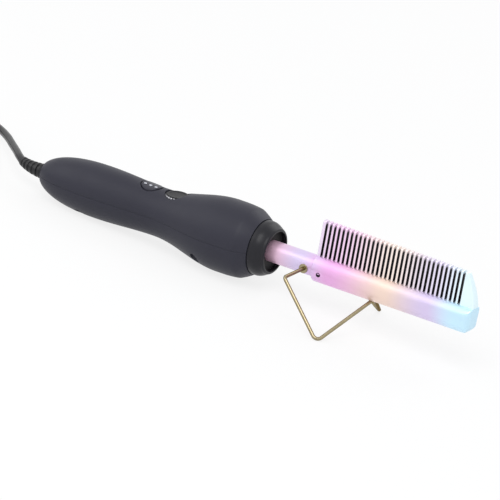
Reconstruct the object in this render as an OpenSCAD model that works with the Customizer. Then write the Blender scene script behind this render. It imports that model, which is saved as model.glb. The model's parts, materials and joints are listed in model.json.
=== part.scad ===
// Electric hot comb: a corded handle, a heated comb head on a round shank, and
// a folding wire stand. Millimetres. The comb's own frame has X along the shank
// towards the tip, Z along the teeth and Y across. The part is drawn as it stands
// on a table: origin on the table, under the middle of its length.

/* [Handle] */
// Length from the front ring's seam to the tail end
handle_l = 150.2; // [146:0.2:168]
// Diameter of the rear grip
grip_d = 32; // [30.4:0.2:35]
// Diameter of the waist under the controls
neck_d = 28.8; // [28:0.2:31]
// Diameter of the bulb behind the front ring
bulb_d = 43.8; // [42:0.2:47]
// Distance from the seam back to the widest part of the bulb
bulb_back = 22.2; // [21:0.1:24]
// Distance from the widest part of the bulb back to the waist
waist_back = 46.2; // [44:0.2:50]
// Distance from the tail end forward to the widest part of the rear grip
grip_ahead = 40.8; // [39:0.2:44]
// Thickness of the handle's moulded wall
wall = 2.2; // [1.8:0.1:2.4]

/* [Front ring] */
// Length of the front ring along the shank
ring_l = 9.8; // [9.4:0.1:12]
// Outer diameter of the ring's rim
rim_d = 28; // [27.6:0.1:29]
// Diameter of the open mouth around the shank
mouth_d = 25.2; // [24.4:0.1:25.2]
// Depth of the mouth in front of the insulator
mouth_depth = 3; // [2:0.1:3.4]

/* [Shank and comb] */
// Outer diameter of the round shank
shank_d = 12.8; // [12.4:0.1:14]
// Bare length of the shank between the front ring's rim and the comb
shank_gap = 28.8; // [27.4:0.1:33]
// Length of the comb's round spine
spine_l = 103; // [102:0.5:110]
// Diameter of the spine
spine_d = 17; // [16:0.1:18]
// Length of the teeth next to the shank
tooth_l = 21.2; // [16:0.2:24]
// How much shorter the teeth are at the tip than next to the shank
tooth_fall = 1.8; // [0:0.1:4]
// Thickness of a tooth at its root, across the comb
tooth_root_w = 6.6; // [5:0.1:6.6]
// Thickness of a tooth at its tip, across the comb
tooth_tip_w = 4.1; // [2.6:0.1:4.6]
// Distance from one tooth to the next
tooth_pitch = 2.83; // [2.6:0.01:2.84]
// Width of the gap between two teeth
tooth_gap = 1.4; // [1.1:0.05:1.5]
// Number of gaps
gap_count = 33; // [20:1:33]

/* [Controls] */
// Diameter of the power button
button_d = 12.4; // [11:0.1:12.8]
// Travel of the power button
button_travel = 0.8; // [0.4:0.1:0.9]
// Distance from the waist back to the power button
button_back = 9; // [8.6:0.2:11]
// Diameter of the temperature dial
dial_d = 14.6; // [13.6:0.1:15]
// Distance from the waist forward to the temperature dial
dial_ahead = 9; // [8.4:0.2:10]
// Number of grooves around the temperature dial
dial_grooves = 24; // [16:2:30]

/* [Stand] */
// Diameter of the stand's wire
wire_d = 2.1; // [1.8:0.1:2.2]
// Distance from the comb's rear end back to the stand's pivot
pivot_back = 5.9; // [5.2:0.1:6.6]
// Width of the stand between the two corners at its pivot
stand_corner_w = 55.6; // [50:0.2:60]
// Width of the stand between the bends that form its feet
stand_foot_w = 73.2; // [66:0.2:82]
// Distance from the pivot forward to the feet
foot_ahead = 31; // [28:0.1:35]
// Distance from the pivot down to the feet
foot_drop = 27.2; // [25.6:0.1:30]
// Distance from the pivot forward to the bridge under the spine
bridge_ahead = 44; // [41:0.5:50]
// Length of the bridge under the spine
bridge_w = 5.4; // [4.4:0.2:8]

/* [Cord] */
// Diameter of the mains cord
cord_d = 4.8; // [4.4:0.1:5.4]
// Length of the ribbed strain relief behind the tail
relief_l = 21; // [20:0.2:25]
// Diameter of the strain relief at the tail
relief_base_d = 9.6; // [9.2:0.1:11]
// Number of ribs on the strain relief
relief_ribs = 5; // [3:1:7]
// Diameter of each of the plug's pins
pin_d = 4; // [4:0.1:4.8]
// Length of each of the plug's pins
pin_l = 19; // [17:0.5:20]
// Distance between the plug's pins
pin_spacing = 18.6; // [17.5:0.1:19]

/* [Hidden] */
$fn = 96;

// Clearances: a turning or sliding fit, a fixed fit, and a seat between flat faces.
run_fit = 0.06;
fix_fit = 0.04;
seat = 0.1;
// How far a cutting tool runs past the face that it cuts.
past = 1;

// Places along the comb's own X. The spine starts at spine_x, and the rest follows.
spine_x = 7;
rim_x = spine_x - shank_gap;
seam_x = rim_x - ring_l;
tail_x = seam_x - handle_l;
bulb_x = seam_x - bulb_back;
neck_x = bulb_x - waist_back;
grip_x = tail_x + grip_ahead;
tip_x = spine_x + spine_l;
button_x = neck_x - button_back;
dial_x = neck_x + dial_ahead;
pivot_x = spine_x - pivot_back;
// The pivot and the comb's locking screw sit a little below the shank's axis.
pivot_z = -1.4;

// Outline of the handle, as a radius at each x. Between the grip, the waist and the
// bulb it follows half a cosine wave. The front falls away as a cubic and then faster
// over a shoulder at the seam. The tail rounds off as a full ellipse that is cut short
// for the cord.
tail_cut = 3;
tail_fullness = 2.3;
bulb_fall = 0.00026;
shoulder_l = 7.5;
shoulder_fall = 0.3;
shoulder_x = seam_x - shoulder_l;
function wave(a, b, t) = a + (b - a) * (1 - cos(180 * t)) / 2;
function tail_r(t) = grip_d / 2 * pow(1 - pow(t, tail_fullness), 1 / tail_fullness);
function handle_r(x) =
    x < grip_x ? tail_r((grip_x - x) / (grip_ahead + tail_cut))
    : x < neck_x ? wave(grip_d, neck_d, (x - grip_x) / (neck_x - grip_x)) / 2
    : x < bulb_x ? wave(neck_d, bulb_d, (x - neck_x) / (bulb_x - neck_x)) / 2
    : bulb_d / 2 - pow(x - bulb_x, 3) * bulb_fall - max(0, x - shoulder_x) * shoulder_fall;
// Stations from x0 to x1, closer together where the tail curves hard.
function stations(x0, x1, n) = [for (i = [0:n]) x0 + (x1 - x0) * i / n];
tail_stations = [for (i = [0:14]) grip_x - (grip_x - tail_x) * sin(90 * (1 - i / 14))];
body_stations = concat(tail_stations, stations(grip_x, seam_x, 44));
// The outline between two places, moved inwards by inset, as [x, radius] points.
function outline(x0, x1, inset) =
    [for (x = concat([x0], [for (s = body_stations) if (s > x0 + 0.01 && s < x1 - 0.01) s], [x1]))
        [x, handle_r(x) - inset]];

// Tail: the cord's swivel turns in an end wall and is held by a flange behind it.
end_wall = 4;
relief_neck_r = 4.04;
swivel_flange_r = 5.4;
swivel_flange_t = 2.5;
keeper_t = 1.5;
end_wall_x = tail_x + end_wall;
flange_x = end_wall_x + seat;
keeper_x = flange_x + swivel_flange_t + seat;
spindle_r = 2.6;
spindle_x = flange_x + swivel_flange_t;
spindle_l = 18;
slip_ring_r = 3.6;
slip_ring_w = 2.6;
slip_ring_xs = [spindle_x + 6.5, spindle_x + 11.5];
holder_x = spindle_x + 4;
holder_z = -6.6;
holder_l = spindle_l - 1.5;
holder_w = 10;
holder_floor = 1.4;
holder_wall = 2;

// Strain relief: straight behind the collar, then bent to one side with the cord.
// Its ribs are rings that get smaller towards the cord.
relief_side = 16;
relief_straight = 3;
relief_bend = 34;
relief_arc_r = (relief_l - relief_straight) / relief_bend * 180 / PI;
relief_rib = 0.9;
relief_slope = 0.25;
relief_tip_r = cord_d / 2 + 0.5;
collar_l = 2.4;
collar_round = 0.4;
tail_gap = 0.2;
relief_gap = 0.1;
relief_from = tail_gap + collar_l + relief_gap;
rib_from = relief_from + 0.8;
rib_pitch = (relief_l - 1 - rib_from) / relief_ribs;
function relief_turn(s) = max(s - relief_straight, 0) / relief_arc_r * 180 / PI;
function relief_way(s) = [-cos(relief_turn(s)), sin(relief_turn(s)), 0];
function relief_at(s) =
    [tail_x - min(s, relief_straight) - relief_arc_r * sin(relief_turn(s)),
     relief_arc_r * (1 - cos(relief_turn(s))), 0];
function relief_r(s) = relief_base_d / 2 - tail_gap
    + (relief_tip_r - relief_base_d / 2 + tail_gap) * (s - relief_from) / (relief_l - relief_from);
relief_profile = concat(
    [[relief_from, relief_r(relief_from)], [rib_from - relief_slope, relief_r(rib_from)]],
    [for (i = [0:relief_ribs - 1]) let (s = rib_from + i * rib_pitch, e = s + rib_pitch)
        each [[s, relief_r(s) - relief_rib * relief_r(s) / relief_r(relief_from)],
              [s + rib_pitch * 0.4, relief_r(s) - relief_rib * relief_r(s) / relief_r(relief_from)],
              [s + rib_pitch * 0.4 + relief_slope, relief_r(s)],
              [e - relief_slope, relief_r(e)]]],
    [[relief_l - 0.5, relief_tip_r], [relief_l, relief_tip_r - 0.3]]);
relief_rings = [for (q = relief_profile) ring(relief_at(q[0]), relief_way(q[0]), q[1], relief_side)];

// Front: the shells end in a spigot that carries the front ring, and both together
// hold the insulator. A flange on the tube sits between two ribs in the bulb.
ring_wall = 2.6;
spigot_r = handle_r(seam_x) - ring_wall;
spigot_l = 5;
bush_r = spigot_r - 1.6;
bush_step_l = 3.6;
insulator_x = rim_x - mouth_depth;
bush_back_x = seam_x + spigot_l - bush_step_l - seat;
lip_r = 10.2;
tube_back = 29;
tube_x = rim_x - tube_back;
rib_t = 2;
rib_bore_r = 9.5;
tube_flange_r = 14;
tube_flange_t = 3;
tube_flange_x = tube_x + 2;

// Shank tube: a wide rear bore for the leads and a narrow front bore that holds the
// terminal, and a spigot that the comb's spine slides over.
tube_bore_r = 4.9;
tube_front_bore_r = 3.6;
tube_step_x = pivot_x - 7;
socket_l = 9.7;
socket_r = 5.04;

// Spine: a round bar with a narrow flat land under it and a flat on top that carries
// the teeth. The tip is rounded below and to both sides.
spine_r = spine_d / 2;
land_z = -spine_r + 0.4;
root_z = sqrt(pow(spine_r, 2) - pow(tooth_root_w / 2 + 0.2, 2));
teeth_top_z = root_z + tooth_l;
first_gap_x = spine_x + 2.7;
last_gap_x = first_gap_x + (gap_count - 1) * tooth_pitch;
guard_x = last_gap_x + tooth_gap / 2;
guard_top_w = 1.6;
guard_curve = 1.6;
tooth_edge = 0.6;
tip_corner = 4;
tip_side_corner = 3;
tip_lean = 0.6;
heater_r = 3.2;
heater_l = 80;
heater_x = spine_x + 0.5;
terminal_r = 3.4;
terminal_x = pivot_x - 13;
terminal_lead_y = 1.63;
sensor_r = 0.9;
sensor_z = 1.8;
sensor_in = 3;
comb_screw_x = spine_x + 5.1;
comb_screw_r = 1.4;

// Board and what it carries. Its top is a little below the shank's axis.
board_top = -1.2;
board_t = 1.6;
board_w = 20;
board_front_x = bulb_x - 4;
board_back_x = grip_x - 2;
board_l = board_front_x - board_back_x;
board_screw_y = 7;
board_screw_in = 4;
board_screw_r = 1;
board_screw_head_r = 1.9;
board_screw_head_t = 1.2;
board_screw_down = 4;
board_screw_places = [for (x = [board_back_x + board_screw_in, board_front_x - board_screw_in],
                           side = [-1, 1]) [x, side * board_screw_y]];
board_post_r = 2.3;
lead_r = 0.8;
lead_z = board_top + lead_r;
lead_y = 2.6;
switch_w = 6;
switch_h = 4;
switch_top = board_top + switch_h;
plunger_r = 1.5;
plunger_out = 0.9;
pot_w = 11;
pot_h = 5;
relay_l = 12;
relay_w = 10;
relay_h = 8;
relay_x = bulb_x - 16;
can_r = 2.4;
can_x = (dial_x + pot_w / 2 + relay_x - relay_l / 2) / 2;
thyristor_l = 4;
thyristor_back = 3;

// Power button: the cap stands a little proud and a flange keeps it in the shell.
button_proud = 0.3;
button_groove = 0.8;
groove_depth = 1;
button_guide = 0.15;
button_flange_out = 1;
button_flange_t = 1.4;
button_skirt = 2.75;
button_flange_z = handle_r(button_x) - wall - button_skirt;
button_stem_r = 1.6;
thyristor_h = button_flange_z - button_flange_t - button_travel - 0.6 - board_top;
pip_r = 0.9;
pip_pitch = 3.7;
pip_y = -1.5;
pip_depth = 3;

// Temperature dial: it lies in a round well, a little below the top of the waist.
dial_t = 4.5;
dial_gap = 0.35;
dial_sink = 1;
dial_top = handle_r(dial_x) - dial_sink;
dial_floor = dial_top - dial_t - 0.3;
well_wall = 1.4;
well_floor_t = 1.6;
dial_shaft_r = 3;
dial_bore_depth = 2.5;
groove_r = 0.5;

// Screws that hold the shells together, driven in from below.
rear_screw = [grip_x - 10, 7.6];
front_screw = [bulb_x - 12, 14.5];
screw_places = [for (p = [rear_screw, front_screw], side = [-1, 1]) [p[0], side * p[1]]];
screw_boss_r = 3.9;
screw_head_r = 2.6;
screw_head_t = 2;
screw_head_z = -5;
screw_r = 1.2;
screw_up = 8;

// Stand: the path of its wire on one side, and the radius of each bend.
wire_r = wire_d / 2;
journal_r = wire_r - 0.1;
bush_body_r = 2;
bush_flange_r = 2.75;
bush_flange_t = 0.7;
bush_in = 2.5;
bush_seat_y = shank_d / 2 - 0.15;
journal_end_y = bush_seat_y - bush_in + 0.4;
wire_start_y = bush_seat_y + bush_flange_t + 0.2;
corner_y = stand_corner_w / 2;
foot = [pivot_x + foot_ahead, stand_foot_w / 2, pivot_z - foot_drop];
bridge_z = land_z - wire_r + 0.4;
bridge_x = pivot_x + bridge_ahead;
bridge_groove = 0.25;
foot_bend = 3;
corner_bend = 2.5;
bridge_bend = 2;
half_path = [[pivot_x, wire_start_y, pivot_z], [pivot_x, corner_y, pivot_z], foot,
             [bridge_x, bridge_w / 2, bridge_z]];
function mirrored(p) = [p[0], -p[1], p[2]];
wire_path = concat([for (i = [0:3]) mirrored(half_path[i])], [for (i = [3:-1:0]) half_path[i]]);
wire_bends = [0, corner_bend, foot_bend, bridge_bend, bridge_bend, foot_bend, corner_bend, 0];

// Frame of a bend in a wire through a, b and c: its centre, its normal, the direction
// from its centre to its start, and its angle.
function unit(v) = v / norm(v);
function turn(a, b, c) = acos(unit(b - a) * unit(c - b));
function set_back(a, b, c, radius) = radius * tan(turn(a, b, c) / 2);
function bend_centre(a, b, c, radius) =
    b + unit(unit(c - b) - unit(b - a)) * radius / cos(turn(a, b, c) / 2);
function bend_start(a, b, c, radius) =
    unit(b - unit(b - a) * set_back(a, b, c, radius) - bend_centre(a, b, c, radius));
function bend_normal(a, b, c) = unit(cross(unit(b - a), unit(c - b)));

// Standing pitch: the comb leans back until the feet and the grip touch one plane.
// Heights are measured along the table's own upward direction at a given pitch.
function up_at(pitch) = [sin(pitch), 0, cos(pitch)];
foot_centre = bend_centre(half_path[1], foot, half_path[3], foot_bend);
foot_normal = bend_normal(half_path[1], foot, half_path[3]);
function foot_low(pitch) =
    foot_centre * up_at(pitch)
    - foot_bend * sqrt(1 - pow(foot_normal * up_at(pitch), 2)) - wire_r;
function grip_low(pitch) =
    min([for (p = outline(tail_x, neck_x, 0)) p[0] * sin(pitch) - p[1] * cos(pitch)]);
function solve_pitch(pitch, steps) =
    steps == 0 ? pitch
    : solve_pitch(pitch - (foot_low(pitch) - grip_low(pitch)) / (foot[0] - grip_x) * 180 / PI,
                  steps - 1);
pitch = solve_pitch(3, 12);
lift = -foot_low(pitch);
// Places on the table of the comb's rearmost and foremost points.
function leant(p) = [p[0] * cos(pitch) - p[2] * sin(pitch), p[1], p[0] * sin(pitch) + p[2] * cos(pitch)];
back_reach = min([for (r = relief_rings) for (p = r) leant(p)[0]]);
front_reach = leant([tip_x, 0, root_z])[0];
shift = -(back_reach + front_reach) / 2;
exit = leant(relief_at(relief_l + seat)) + [shift, 0, lift];
straight_out = leant(relief_at(relief_l + 2.5)) + [shift, 0, lift];

// Cord: the route from the strain relief to the coil, and from the coil to the plug.
// Both lie in the table's frame.
cord_r = cord_d / 2;
cord_sides = 10;
coil_centre = [-268, 24];
coil_inner_r = 16.8;
coil_outer_r = 40.8;
coil_rows = 2;
run_route = [[-159.3, 9, 12], [-161.8, 11.4, 11.7], [-164.2, 13.9, 11.5],
             [-167.7, 17.5, 11.1], [-172.7, 22.5, 10.4], [-178.3, 28.2, 9.6],
             [-184.6, 34.6, 8.7], [-192.1, 41.4, 7.6], [-199.9, 47.3, 6.6],
             [-208.3, 52.5, 5.6], [-217.7, 57.2, 4.6], [-226.9, 60.7, 3.7],
             [-236.4, 63.3, 3.1], [-246.5, 65, 2.6], [-256, 65.5, 2.4], [-265.9, 64.6, 2.4],
             [-276, 62.2, 2.4], [-287.5, 57.1, 2.4]];
tail_route = [[-301.8, 5.8, 7.2], [-298.9, -2.8, 7], [-294.6, -13.2, 6.2], [-288.6, -23.5, 5],
              [-281.4, -32.8, 4], [-272.8, -40.6, 3.6], [-264.3, -46, 4.3], [-257, -49.3, 5.8],
              [-251.7, -50.5, 6.9]];

// Plug: a flat moulded body with two round pins, lying beside the coil.
plug_x = -232;
plug_y = -50.5;
plug_z = 7;
plug_l = 30;
plug_w = 26;
plug_h = 14;
plug_corner = 4;
plug_relief_l = 16;
plug_relief_r = 4.4;
pin_root_l = 6;
pin_root_r = 1.5;
pin_gap = 0.1;
tail_end = [plug_x - plug_relief_l - seat, plug_y, plug_z];

tie_angle = 200;
tie_w = 8;
tie_t = 0.9;
tie_gap = 0.1;

// Puts the comb on the table.
module stand_up() {
    translate([shift, 0, lift]) rotate([0, -pitch, 0]) children();
}

// A solid turned about the comb's X from points of [x, radius].
module turned(points) {
    rotate([0, 90, 0]) rotate_extrude() polygon([for (p = points) [p[1], p[0]]]);
}

// A plain cylinder, ring or hole along X.
module along_x(x, length, radius) {
    translate([x, 0, 0]) rotate([0, 90, 0]) cylinder(h = length, r = radius);
}

// A plain cylinder along Y that starts at a place.
module along_y(place, length, radius) {
    translate(place) rotate([-90, 0, 0]) cylinder(h = length, r = radius);
}

// A box given by its middle in x and y, and its underside.
module block(x, y, z, size) {
    translate([x - size[0] / 2, y - size[1] / 2, z]) cube(size);
}

// A plate in the XY plane with round corners, centred on the origin.
module round_plate(length, width, height, corner) {
    for (sx = [-1, 1], sy = [-1, 1])
        translate([sx * (length / 2 - corner), sy * (width / 2 - corner), 0])
            cylinder(h = height, r = corner);
    translate([-length / 2 + corner, -width / 2, 0]) cube([length - 2 * corner, width, height]);
    translate([-length / 2, -width / 2 + corner, 0]) cube([length, width - 2 * corner, height]);
}

// The handle's outer form, grown by a little where a cap stands proud.
module handle_form(grow) {
    turned(concat([[tail_x, 0]], outline(tail_x, seam_x, -grow), [[seam_x, 0]]));
}

// Everything that the two shells are hollowed by: tail bore, swivel chamber, keeper
// rib, main room, the two ribs of the tube's flange, and the front bore.
module handle_hollow() {
    front_room_x = tube_flange_x + tube_flange_t + seat;
    turned(concat(
        [[tail_x - past, 0], [tail_x - past, relief_neck_r + run_fit],
         [end_wall_x, relief_neck_r + run_fit]],
        outline(end_wall_x, keeper_x, wall),
        [[keeper_x, relief_neck_r + run_fit], [keeper_x + keeper_t, relief_neck_r + run_fit]],
        outline(keeper_x + keeper_t, tube_flange_x - seat - rib_t, wall),
        [[tube_flange_x - seat - rib_t, rib_bore_r], [tube_flange_x - seat, rib_bore_r],
         [tube_flange_x - seat, tube_flange_r + seat], [front_room_x, tube_flange_r + seat],
         [front_room_x, rib_bore_r], [front_room_x + rib_t, rib_bore_r],
         [front_room_x + rib_t, handle_r(front_room_x + rib_t) - wall],
         [seam_x - wall, handle_r(seam_x) - wall], [seam_x - wall, lip_r],
         [bush_back_x - seat, lip_r], [bush_back_x - seat, bush_r + seat],
         [seam_x + spigot_l + past, bush_r + seat], [seam_x + spigot_l + past, 0]]));
}

// One half of the moulded body, on the side of the parting plane that side names.
module half_body(side) {
    intersection() {
        difference() {
            union() {
                handle_form(0);
                along_x(seam_x - past, spigot_l + past, spigot_r);
            }
            handle_hollow();
        }
        translate([tail_x - past, -bulb_d, side > 0 ? 0 : -bulb_d])
            cube([handle_l + spigot_l + 2 * past, 2 * bulb_d, bulb_d]);
    }
}

// A post inside a shell, from the parting plane or from z, out to the wall.
module inner_post(x, y, z, radius, side) {
    intersection() {
        handle_form(-wall / 2);
        translate([x, y, side > 0 ? z : -bulb_d]) cylinder(h = bulb_d - abs(z), r = radius);
    }
}

module upper_shell() {
    well_r = dial_d / 2 + dial_gap;
    color([0.20, 0.20, 0.23]) stand_up() difference() {
        union() {
            half_body(1);
            for (p = screw_places) inner_post(p[0], p[1], 0, screw_boss_r, 1);
            intersection() {
                handle_form(-wall / 2);
                translate([dial_x, 0, dial_floor - well_floor_t])
                    cylinder(h = bulb_d, r = well_r + well_wall);
            }
        }
        for (p = screw_places)
            translate([p[0], p[1], -past]) cylinder(h = screw_up + past + seat, r = screw_r + fix_fit);
        translate([dial_x, 0, dial_floor]) cylinder(h = bulb_d, r = well_r);
        translate([dial_x, 0, 0]) cylinder(h = bulb_d, r = dial_shaft_r + run_fit);
        translate([button_x, 0, 0]) cylinder(h = bulb_d, r = button_d / 2 + button_guide);
        difference() {
            translate([button_x, 0, 0]) cylinder(h = bulb_d, r = button_d / 2 + button_groove);
            handle_form(-groove_depth);
        }
    }
}

module lower_shell() {
    board_z = board_top - board_t;
    color([0.19, 0.19, 0.22]) stand_up() difference() {
        union() {
            half_body(-1);
            for (p = screw_places) inner_post(p[0], p[1], 0, screw_boss_r, -1);
            for (p = board_screw_places) inner_post_down(p[0], p[1], board_z, board_post_r);
            intersection() {
                handle_form(-wall / 2);
                block(holder_x + 6, 0, -bulb_d, [6, 5, bulb_d + holder_z]);
            }
        }
        for (p = screw_places) {
            translate([p[0], p[1], screw_head_z - past])
                cylinder(h = past - screw_head_z + past, r = screw_r + 0.3);
            translate([p[0], p[1], -bulb_d]) cylinder(h = bulb_d + screw_head_z, r = screw_head_r + 0.2);
        }
        for (p = board_screw_places)
            translate([p[0], p[1], board_z - 5]) cylinder(h = 5 + past, r = board_screw_r + fix_fit);
    }
}

// A post of the lower shell that ends at height z, under the board.
module inner_post_down(x, y, z, radius) {
    intersection() {
        handle_form(-wall / 2);
        translate([x, y, -bulb_d]) cylinder(h = bulb_d + z, r = radius);
    }
}

module shell_screws() {
    color("dimgray") stand_up() for (p = screw_places) translate([p[0], p[1], 0]) difference() {
        union() {
            translate([0, 0, screw_head_z - screw_head_t])
                cylinder(h = screw_head_t, r = screw_head_r);
            translate([0, 0, screw_head_z - seat])
                cylinder(h = screw_up - screw_head_z + seat, r = screw_r);
        }
        for (turned_by = [0, 90]) rotate([0, 0, turned_by])
            translate([-1.5, -0.3, screw_head_z - screw_head_t - past]) cube([3, 0.6, past + 1.1]);
    }
}

// The front ring slides over the spigot, tapers to a rounded rim and leaves a
// narrow groove at the seam.
module front_ring() {
    rear_r = handle_r(seam_x) - 0.4;
    rim_round = 1.4;
    rim_r = rim_d / 2;
    taper_x = rim_x - rim_round;
    bore_end_x = seam_x + spigot_l + seat;
    color([0.15, 0.15, 0.17]) stand_up() turned(concat(
        [[seam_x + 0.2, spigot_r + fix_fit], [seam_x + 0.2, rear_r - 0.5], [seam_x + 0.7, rear_r]],
        [for (i = [1:7]) let (t = i / 8) [seam_x + 0.7 + (taper_x - seam_x - 0.7) * t,
            rear_r + (rim_r - rear_r) * t + 0.9 * sin(180 * t)]],
        [for (a = [75:-15:-15]) [taper_x + rim_round * cos(a), rim_r - rim_round + rim_round * sin(a)]],
        [[rim_x - 0.2, mouth_d / 2], [bore_end_x, mouth_d / 2], [bore_end_x, spigot_r + fix_fit]]));
}

module insulator_bush() {
    spigot_x = seam_x + spigot_l;
    color([0.11, 0.11, 0.12]) stand_up() difference() {
        union() {
            along_x(bush_back_x, spigot_x - bush_back_x, bush_r);
            along_x(spigot_x, insulator_x - spigot_x, mouth_d / 2 - seat);
        }
        along_x(bush_back_x - past, rim_x - bush_back_x + past, shank_d / 2 + run_fit);
    }
}

module tube_flange() {
    color("goldenrod") stand_up() difference() {
        along_x(tube_flange_x, tube_flange_t, tube_flange_r);
        along_x(tube_flange_x - past, tube_flange_t + 2 * past, shank_d / 2 + fix_fit);
    }
}

// A steel tube that runs from inside the bulb into the comb's spine.
module shank_tube() {
    spigot_end = spine_x + socket_l - 0.3;
    color([0.93, 0.78, 0.88]) stand_up() difference() {
        union() {
            along_x(tube_x, spine_x - tube_x, shank_d / 2);
            along_x(spine_x - past, spigot_end - spine_x + past, socket_r - fix_fit);
        }
        along_x(tube_x - past, tube_step_x - tube_x + past, tube_bore_r);
        along_x(tube_step_x - past, spigot_end - tube_step_x + 2 * past, tube_front_bore_r);
        along_y([pivot_x, -shank_d, pivot_z], 2 * shank_d, bush_body_r + fix_fit);
        for (side = [-1, 1]) translate([pivot_x, side * (bush_seat_y + past), pivot_z])
            rotate([90, 0, 0]) cylinder(h = 2 * past, r = bush_flange_r + fix_fit, center = true);
    }
}

// Side outline of the spine: square at the shank, rounded under the tip.
function spine_side() = concat(
    [[spine_x, land_z], [tip_x - tip_lean - tip_corner, land_z]],
    [for (a = [-75:15:0]) [tip_x - tip_lean - tip_corner + tip_corner * cos(a),
        land_z + tip_corner + tip_corner * sin(a)]],
    [[tip_x, tip_corner], [tip_x, root_z], [spine_x, root_z]]);

// Plan outline of the spine: square at the shank, round corners at the tip.
function spine_plan() = concat(
    [[spine_x, spine_r + past], [spine_x, -spine_r - past]],
    [for (a = [-90:15:0]) [tip_x - tip_side_corner + tip_side_corner * cos(a),
        -spine_r + 1 + tip_side_corner + tip_side_corner * sin(a)]],
    [for (a = [0:15:90]) [tip_x - tip_side_corner + tip_side_corner * cos(a),
        spine_r - 1 - tip_side_corner + tip_side_corner * sin(a)]]);

// A section in the YZ plane carried along X, and an outline in the XZ plane
// carried along Y.
module across(x, length, points) {
    translate([x, 0, 0]) rotate([90, 0, 90]) linear_extrude(length) polygon(points);
}
module sideways(points, width) {
    translate([0, width / 2, 0]) rotate([90, 0, 0]) linear_extrude(width) polygon(points);
}

module comb_spine() {
    color([0.93, 0.66, 0.93]) stand_up() difference() {
        intersection() {
            along_x(spine_x, spine_l, spine_r);
            sideways(spine_side(), 4 * spine_r);
            translate([0, 0, -2 * spine_r]) linear_extrude(4 * spine_r) polygon(spine_plan());
        }
        along_x(spine_x - past, socket_l + past, socket_r);
        along_x(spine_x, heater_x + heater_l + 1 - spine_x, heater_r + seat);
        along_y([comb_screw_x, -2 * spine_r, pivot_z], 2 * spine_r, comb_screw_r + fix_fit);
        along_y([bridge_x, -spine_r, bridge_z], 2 * spine_r, wire_r + bridge_groove);
    }
}

// Each tooth is a wedge of its own on the spine. The first is a little thicker and the
// last widens down to the tip as a guard.
function teeth_top(x) = teeth_top_z - tooth_fall * (x - spine_x) / spine_l;
function tooth_section(x) =
    let (top = teeth_top(x), root_y = tooth_root_w / 2, tip_y = tooth_tip_w / 2)
    [[-root_y, root_z], [root_y, root_z], [tip_y, top - tooth_edge], [tip_y - tooth_edge, top],
     [-tip_y + tooth_edge, top], [-tip_y, top - tooth_edge]];
function guard_side() =
    let (top = teeth_top(guard_x), out = spine_l + spine_x - guard_x - guard_top_w)
    concat([[guard_x - past, top], [guard_x - past, root_z]],
           [for (t = [0:0.125:1]) [tip_x - out * pow(t, guard_curve), root_z + (top - root_z) * t]]);
module comb_teeth() {
    tooth_w = tooth_pitch - tooth_gap;
    first_w = first_gap_x - tooth_gap / 2 - spine_x;
    color([0.86, 0.80, 0.97]) stand_up() {
        across(spine_x, first_w, tooth_section(spine_x));
        for (i = [1:gap_count - 1]) let (x = first_gap_x + i * tooth_pitch - tooth_gap / 2 - tooth_w)
            across(x, tooth_w, tooth_section(x));
        intersection() {
            across(guard_x, tip_x - guard_x, tooth_section(guard_x));
            sideways(guard_side(), 4 * spine_r);
        }
    }
}

module comb_screw() {
    tip_y = -socket_r - seat;
    face_y = -sqrt(pow(spine_r, 2) - pow(pivot_z, 2)) + 0.3;
    color([0.25, 0.25, 0.28]) stand_up() difference() {
        along_y([comb_screw_x, face_y, pivot_z], tip_y - face_y, comb_screw_r);
        translate([comb_screw_x, face_y - past, pivot_z]) rotate([-90, 0, 0])
            cylinder(h = past + 0.7, r = 0.8, $fn = 6);
    }
}

module heater_rod() {
    color("lightgray") stand_up() along_x(heater_x, heater_l, heater_r);
}

module heater_terminal() {
    color("white") stand_up() difference() {
        along_x(terminal_x, heater_x - terminal_x, terminal_r);
        for (side = [-1, 1]) translate([0, side * terminal_lead_y, lead_z])
            along_x(terminal_x - past, past + 3, lead_r + fix_fit);
        translate([0, 0, sensor_z]) along_x(terminal_x - past, past + sensor_in + seat, sensor_r + fix_fit);
    }
}

module heater_leads() {
    color("firebrick") stand_up() for (side = [-1, 1])
        translate([0, side * terminal_lead_y, lead_z])
            along_x(board_front_x - 5, terminal_x + 2.9 - board_front_x + 5, lead_r);
}

module thermal_fuse() {
    fuse_r = 1.5;
    color("silver") stand_up() translate([0, 0, tube_bore_r - fuse_r - 0.2])
        along_x(tube_x + 14, 10, fuse_r);
}

module heat_sensor() {
    color("saddlebrown") stand_up() translate([0, 0, sensor_z])
        along_x(terminal_x - sensor_in, 2 * sensor_in, sensor_r);
}

module circuit_board() {
    color("darkgreen") stand_up() difference() {
        block(board_back_x + board_l / 2, 0, board_top - board_t, [board_l, board_w, board_t]);
        for (p = board_screw_places) translate([p[0], p[1], board_top - board_t - past])
            cylinder(h = board_t + 2 * past, r = board_screw_r + 0.15);
    }
}

module board_screws() {
    color("silver") stand_up() for (p = board_screw_places) translate([p[0], p[1], 0]) {
        translate([0, 0, board_top]) cylinder(h = board_screw_head_t, r = board_screw_head_r);
        translate([0, 0, board_top - board_t - board_screw_down])
            cylinder(h = board_t + board_screw_down + 0.2, r = board_screw_r);
    }
}

// Thyristor behind the switch, relay at the front and, between the dial and the relay,
// a storage capacitor, each standing on the board.
module board_components() {
    color("slateblue") stand_up() {
        block(button_x - switch_w / 2 - thyristor_back, 0, board_top, [thyristor_l, relay_w, thyristor_h]);
        block(relay_x, 0, board_top, [relay_l, relay_w, relay_h]);
        translate([can_x, 0, board_top]) cylinder(h = relay_h, r = can_r);
    }
}

module indicator_leds() {
    color("palegreen") stand_up() for (i = [-1:1])
        block(button_x + i * pip_pitch, -switch_w / 2 - 3, board_top, [2, 1.2, 1]);
}

module switch_body() {
    color([0.1, 0.1, 0.1]) stand_up() difference() {
        block(button_x, 0, board_top, [switch_w, switch_w, switch_h]);
        translate([button_x, 0, board_top + 1]) cylinder(h = switch_h, r = plunger_r + run_fit);
    }
}

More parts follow.
